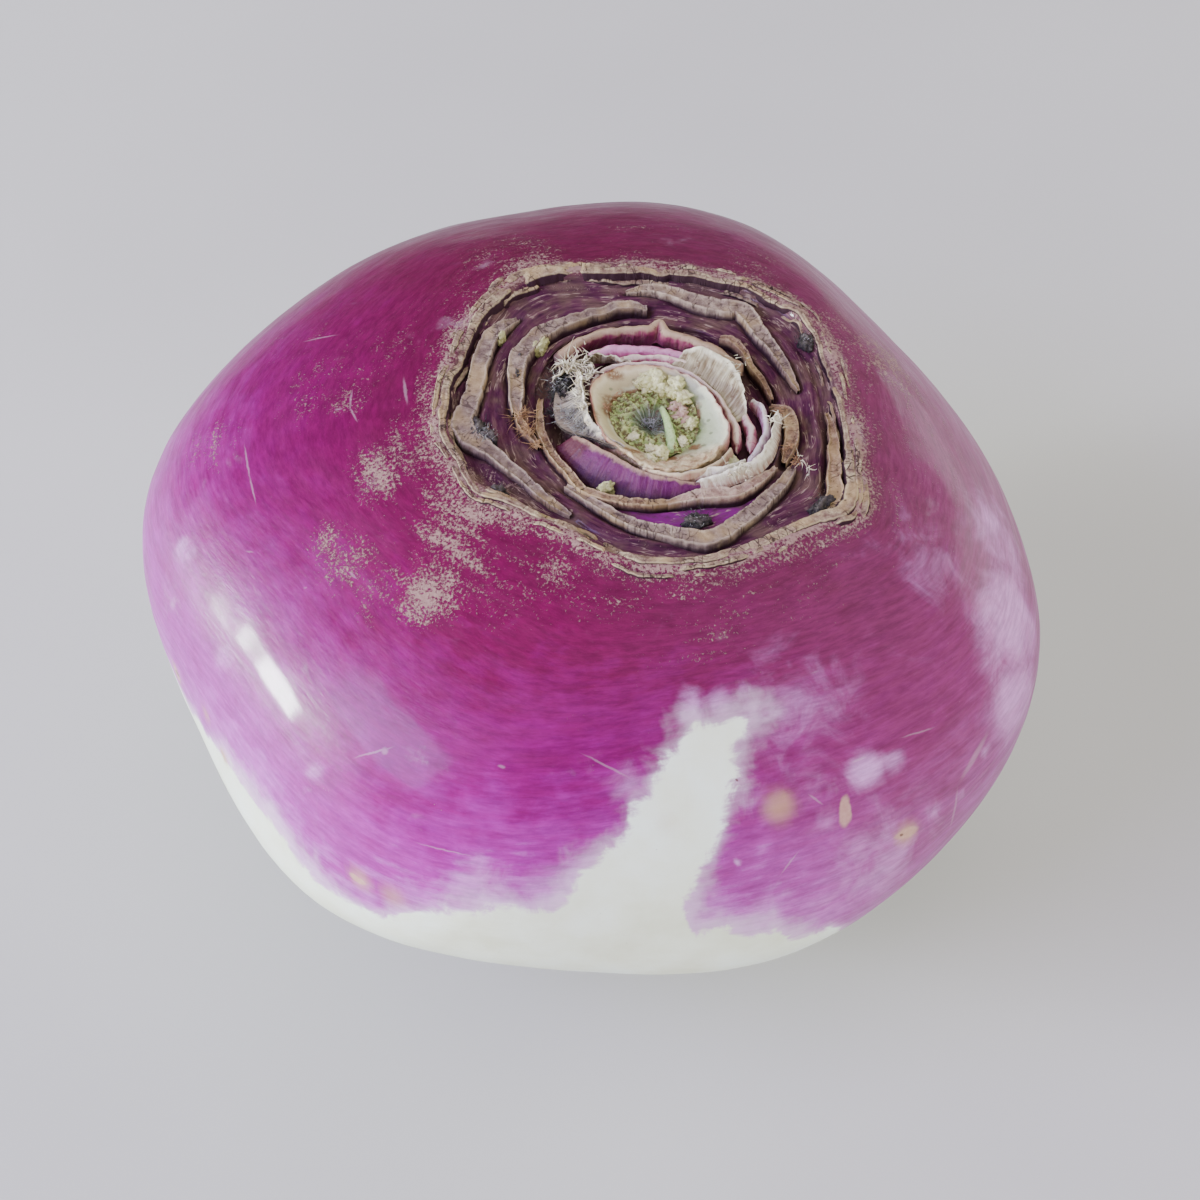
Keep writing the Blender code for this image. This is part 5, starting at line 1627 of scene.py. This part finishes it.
def wall_lines(foot, top, ragged, number, tip):
    """A wall's foot and torn top lines at even steps, with its outward side and how it fades at its ends."""
    foot, top = catmull(foot, 12), catmull(top, 12)
    count = int(along_line(foot)[-1] / WALL_STEP_MM) + 2
    shares = np.linspace(0, 1, count)
    foot, top = (
        np.stack([np.interp(shares, np.linspace(0, 1, len(line)), column) for column in line.T], axis=1)
        for line in (foot, top)
    )
    strip = rows_of(along_line(foot), 0.0, number * 11.0)
    side = sideways(foot)
    side = np.column_stack([side * np.sign(np.sum(side * foot[:, :2])), np.zeros(count)])
    sway = side * (0.22 * NOISE.rough(strip + 5, 2.4, 2))[:, None]
    ends = smooth(shares, 0.0, 0.06) * (1 - smooth(shares, 0.94, 1.0))
    torn = ragged * (0.5 + 0.5 * NOISE.rough(strip, 1.3, 4)) + (top[:, 2] - foot[:, 2]) * 0.55 * (1 - ends)
    top = top + sway - np.outer(torn, (0, 0, 1))
    if tip:
        top = top + side * (tip[1] * hump(shares, tip[0], 0.022))[:, None]
    return foot + sway, top, side, ends, strip


def wall_mesh(name, number, foot, top, thick, fold, ragged, tip, sag):
    """A thin wall from foot to top line: up its outer side, over a ragged edge and down the inner one."""
    foot, top, side, ends, strip = wall_lines(foot, top, ragged, number, tip)
    count = len(foot)
    up = 1 - (1 - np.linspace(0, 1, WALL_ROWS)) ** 1.5
    middle = foot[None] + (top - foot)[None] * up[:, None, None]
    middle[:, :, 2] -= sag * np.sin(math.pi * up)[:, None]
    out = np.cross(np.gradient(middle, axis=1), np.gradient(middle, axis=0))
    out /= length_of(out)
    out *= np.sign(np.sum(out * side[None]))
    place = (middle + (0, 0, number * 9.0)).reshape(-1, 3)
    bend = fold * NOISE.rough(place, 1.5, 3) + 0.05 * NOISE.rough(place + 50, 0.4, 2)
    bend = bend.reshape(len(up), count) * smooth(up, 0.05, 0.7)[:, None]
    middle = middle + out * bend[:, :, None]
    across = (1 - 0.35 * up ** 2) * np.sqrt(np.clip(1 - up ** 6, 0.02, 1))
    along = (0.04 + 0.96 * ends) * (1 + 0.3 * NOISE.rough(strip + 20, 1.7, 3))
    half = 0.5 * thick * np.outer(across, along)[:, :, None]
    rows = np.concatenate([middle + out * half, (middle - out * half)[::-1]])
    mesh = grid_mesh(name, in_world(rows), 2 * WALL_ROWS, count)
    both = np.concatenate([up, up[::-1]])
    set_field(mesh, "up", np.repeat(both, count))
    set_field(mesh, "inner", np.repeat((0.0, 1.0), WALL_ROWS * count))
    set_field(mesh, "share", np.tile(np.linspace(0, 1, count), 2 * WALL_ROWS))
    set_field(mesh, "weave", rows_of(strip[:, 0], both[:, None] * 1.5, number * 5.0) * MM)
    return mesh


def wall_paint(name, foot, flank, edge, stain, inside, grain_share, front_left=None):
    """A stalk's or dry leaf base's finish: its colours from foot to edge, inside and in its stains."""
    paint = Paint("wall_" + name, Specular_IOR_Level=0.35)
    grain = paint.noise(0.8, 5.0, 0.65, paint.stretched(paint.weave("weave"), 3.0, 0.40, 1.0))
    up = paint.sum(paint.field("up"), paint.centred(paint.noise(1.2, 4.0), 0.40))
    outside = paint.mix(paint.between(up, 0.10, 0.75), foot, flank)
    if front_left:
        left_end = paint.sum(paint.field("share"), paint.centred(paint.noise(1.2, 3.0), 0.2))
        outside = paint.mix(paint.between(left_end, 0.30, 0.16), outside, front_left)
    colour = paint.mix(paint.field("inner"), outside, inside)
    colour = paint.mix(paint.between(grain, 0.40, 0.68, 0.0, grain_share), colour, edge)
    colour = paint.mix(paint.between(grain, 0.46, 0.30, 0.0, grain_share), colour, stain)
    colour = paint.mix(paint.between(up, 0.80, 0.97, 0.0, 0.95), colour, edge)
    colour = paint.mix(paint.between(paint.noise(0.9, 5.0, 0.7), 0.56, 0.68, 0.0, 0.75), colour, stain)
    roughness = paint.between(grain, 0.3, 0.7, 0.50, 0.78)
    return paint.finish(colour, roughness, (grain, 0.10), (paint.noise(0.3, 4.0, 0.65), 0.07))


def hair_mesh(name, starts, ways, bends, halves):
    """Fine curved fibres that taper to a point. Each leaves its start along its way and bends off."""
    share = np.linspace(0, 1, FIBRE_STEPS)[None, :, None]
    turns = np.arange(FIBRE_SIDES) * (FULL_TURN / FIBRE_SIDES)
    line = starts[:, None] + ways[:, None] * share + bends[:, None] * share ** 2
    across = np.cross(ways, (0.3, 0.2, 0.9))
    across /= length_of(across)
    other = np.cross(ways, across)
    other /= length_of(other)
    thin = halves[:, None, None] * (1 - 0.85 * share)
    ring = np.stack([
        line + thin * (math.cos(turn) * across[:, None] + math.sin(turn) * other[:, None]) for turn in turns
    ], axis=2)
    index = np.arange(ring[..., 0].size).reshape(ring.shape[:3])
    right = np.roll(index, -1, axis=2)
    quads = np.stack([index[:, :-1], right[:, :-1], right[:, 1:], index[:, 1:]], axis=-1).reshape(-1, 4)
    mesh = bpy.data.meshes.new(name)
    mesh.from_pydata(ring.reshape(-1, 3).tolist(), [], quads.tolist())
    return mesh


def tuft_mesh(name, tufts, half_mm, seed):
    draw = np.random.default_rng(seed)
    starts, ways, bends, halves = [], [], [], []
    for x, y, z, width, count, length, lean in tufts:
        size = length * draw.uniform(0.45, 1.0, (count, 1))
        way = draw.normal(size=(count, 3)) * (1, 1, 0.35) + (0, 0, 0.35)
        way[:, :2] += lean * np.array((x, y)) / math.hypot(x, y)
        ways.append(size * way / np.linalg.norm(way, axis=1, keepdims=True))
        starts.append(draw.normal(size=(count, 3)) * (width * 0.5, width * 0.5, 0.12) + (x, y, z))
        bends.append(size * 0.6 * (draw.normal(size=(count, 3)) * 0.55 + (0, 0, -0.45)))
        halves.append(half_mm * draw.uniform(0.6, 1.3, count))
    starts, ways, bends = (np.vstack(part) for part in (starts, ways, bends))
    return hair_mesh(name, in_world(starts), ways * MM, bends * MM, np.concatenate(halves) * MM)


def rootlet_mesh(name, skin, half_mm):
    """Short dried rootlets round the foot of the root."""
    draw = np.random.default_rng(5)
    low, high = ROOTLET_Z
    foot = np.flatnonzero((skin.points[:, 2] > low) & (skin.points[:, 2] < high))
    chosen = draw.choice(foot, ROOTLETS, replace=False)
    out = skin.normals()[chosen]
    ways = out * draw.uniform(0.6, 2.2, (ROOTLETS, 1)) * MM
    bends = draw.normal(size=(ROOTLETS, 3)) * 0.7 * MM
    starts = skin.points[chosen] - out * 0.2 * MM
    floor = 0.6 * MM - (starts[:, 2] + ways[:, 2])
    bends[:, 2] = np.maximum(bends[:, 2], floor)
    return hair_mesh(name, starts, ways, bends, half_mm * draw.uniform(0.6, 1.3, ROOTLETS) * MM)


def fibre_paint(name, dark, light):
    paint = Paint(name, Specular_IOR_Level=0.2)
    colour = paint.mix(paint.between(paint.noise(0.7, 3.0), 0.3, 0.7), dark, light)
    return paint.finish(colour, 0.8, (paint.noise(0.15), 0.02))


def add_fibres(skin):
    for number, (name, (half_mm, dark, light, slot)) in enumerate(FIBRES.items(), 1):
        if name in TUFTS:
            mesh = tuft_mesh(name, TUFTS[name], half_mm, number)
        else:
            mesh = rootlet_mesh(name, skin, half_mm)
        add_piece(name, mesh, fibre_paint(name, dark, light))


def add_buds():
    for name, buds in (("dark_buds", DARK_BUDS), ("green_buds", GREEN_BUDS)):
        lumps = [(x, y, BUD_Z_MM, long, wide, BUD_HALF_UP_MM, turn) for x, y, long, wide, turn in buds]
        add_piece(name, lump_mesh(name, lumps, len(name), BUD_UNEVEN), lump_paint(name))


def add_stubs():
    add_piece("cup_of_stalk", make_cup(), cup_paint(), "stalk_stub_cup")
    add_heart()
    paints = {name: wall_paint(name, *colours) for name, colours in WALL_COLOURS.items()}
    for number, (name, wall) in enumerate(WALLS.items(), 1):
        shape = {key: wall[key] for key in ("foot", "top", "thick", "fold", "ragged")}
        mesh = wall_mesh(name, number, tip=wall.get("tip"), sag=wall.get("sag", 0.0), **shape)
        add_piece(name, mesh, paints[wall["paint"]], wall.get("replaces"))


def main():
    add_camera()
    add_floor()
    add_lights()
    skin = Skin()
    add_piece("turnip_skin", make_skin(skin), skin_paint(skin), "turnip_root")
    add_cork(skin)
    add_buds()
    add_stubs()
    add_fibres(skin)


main()
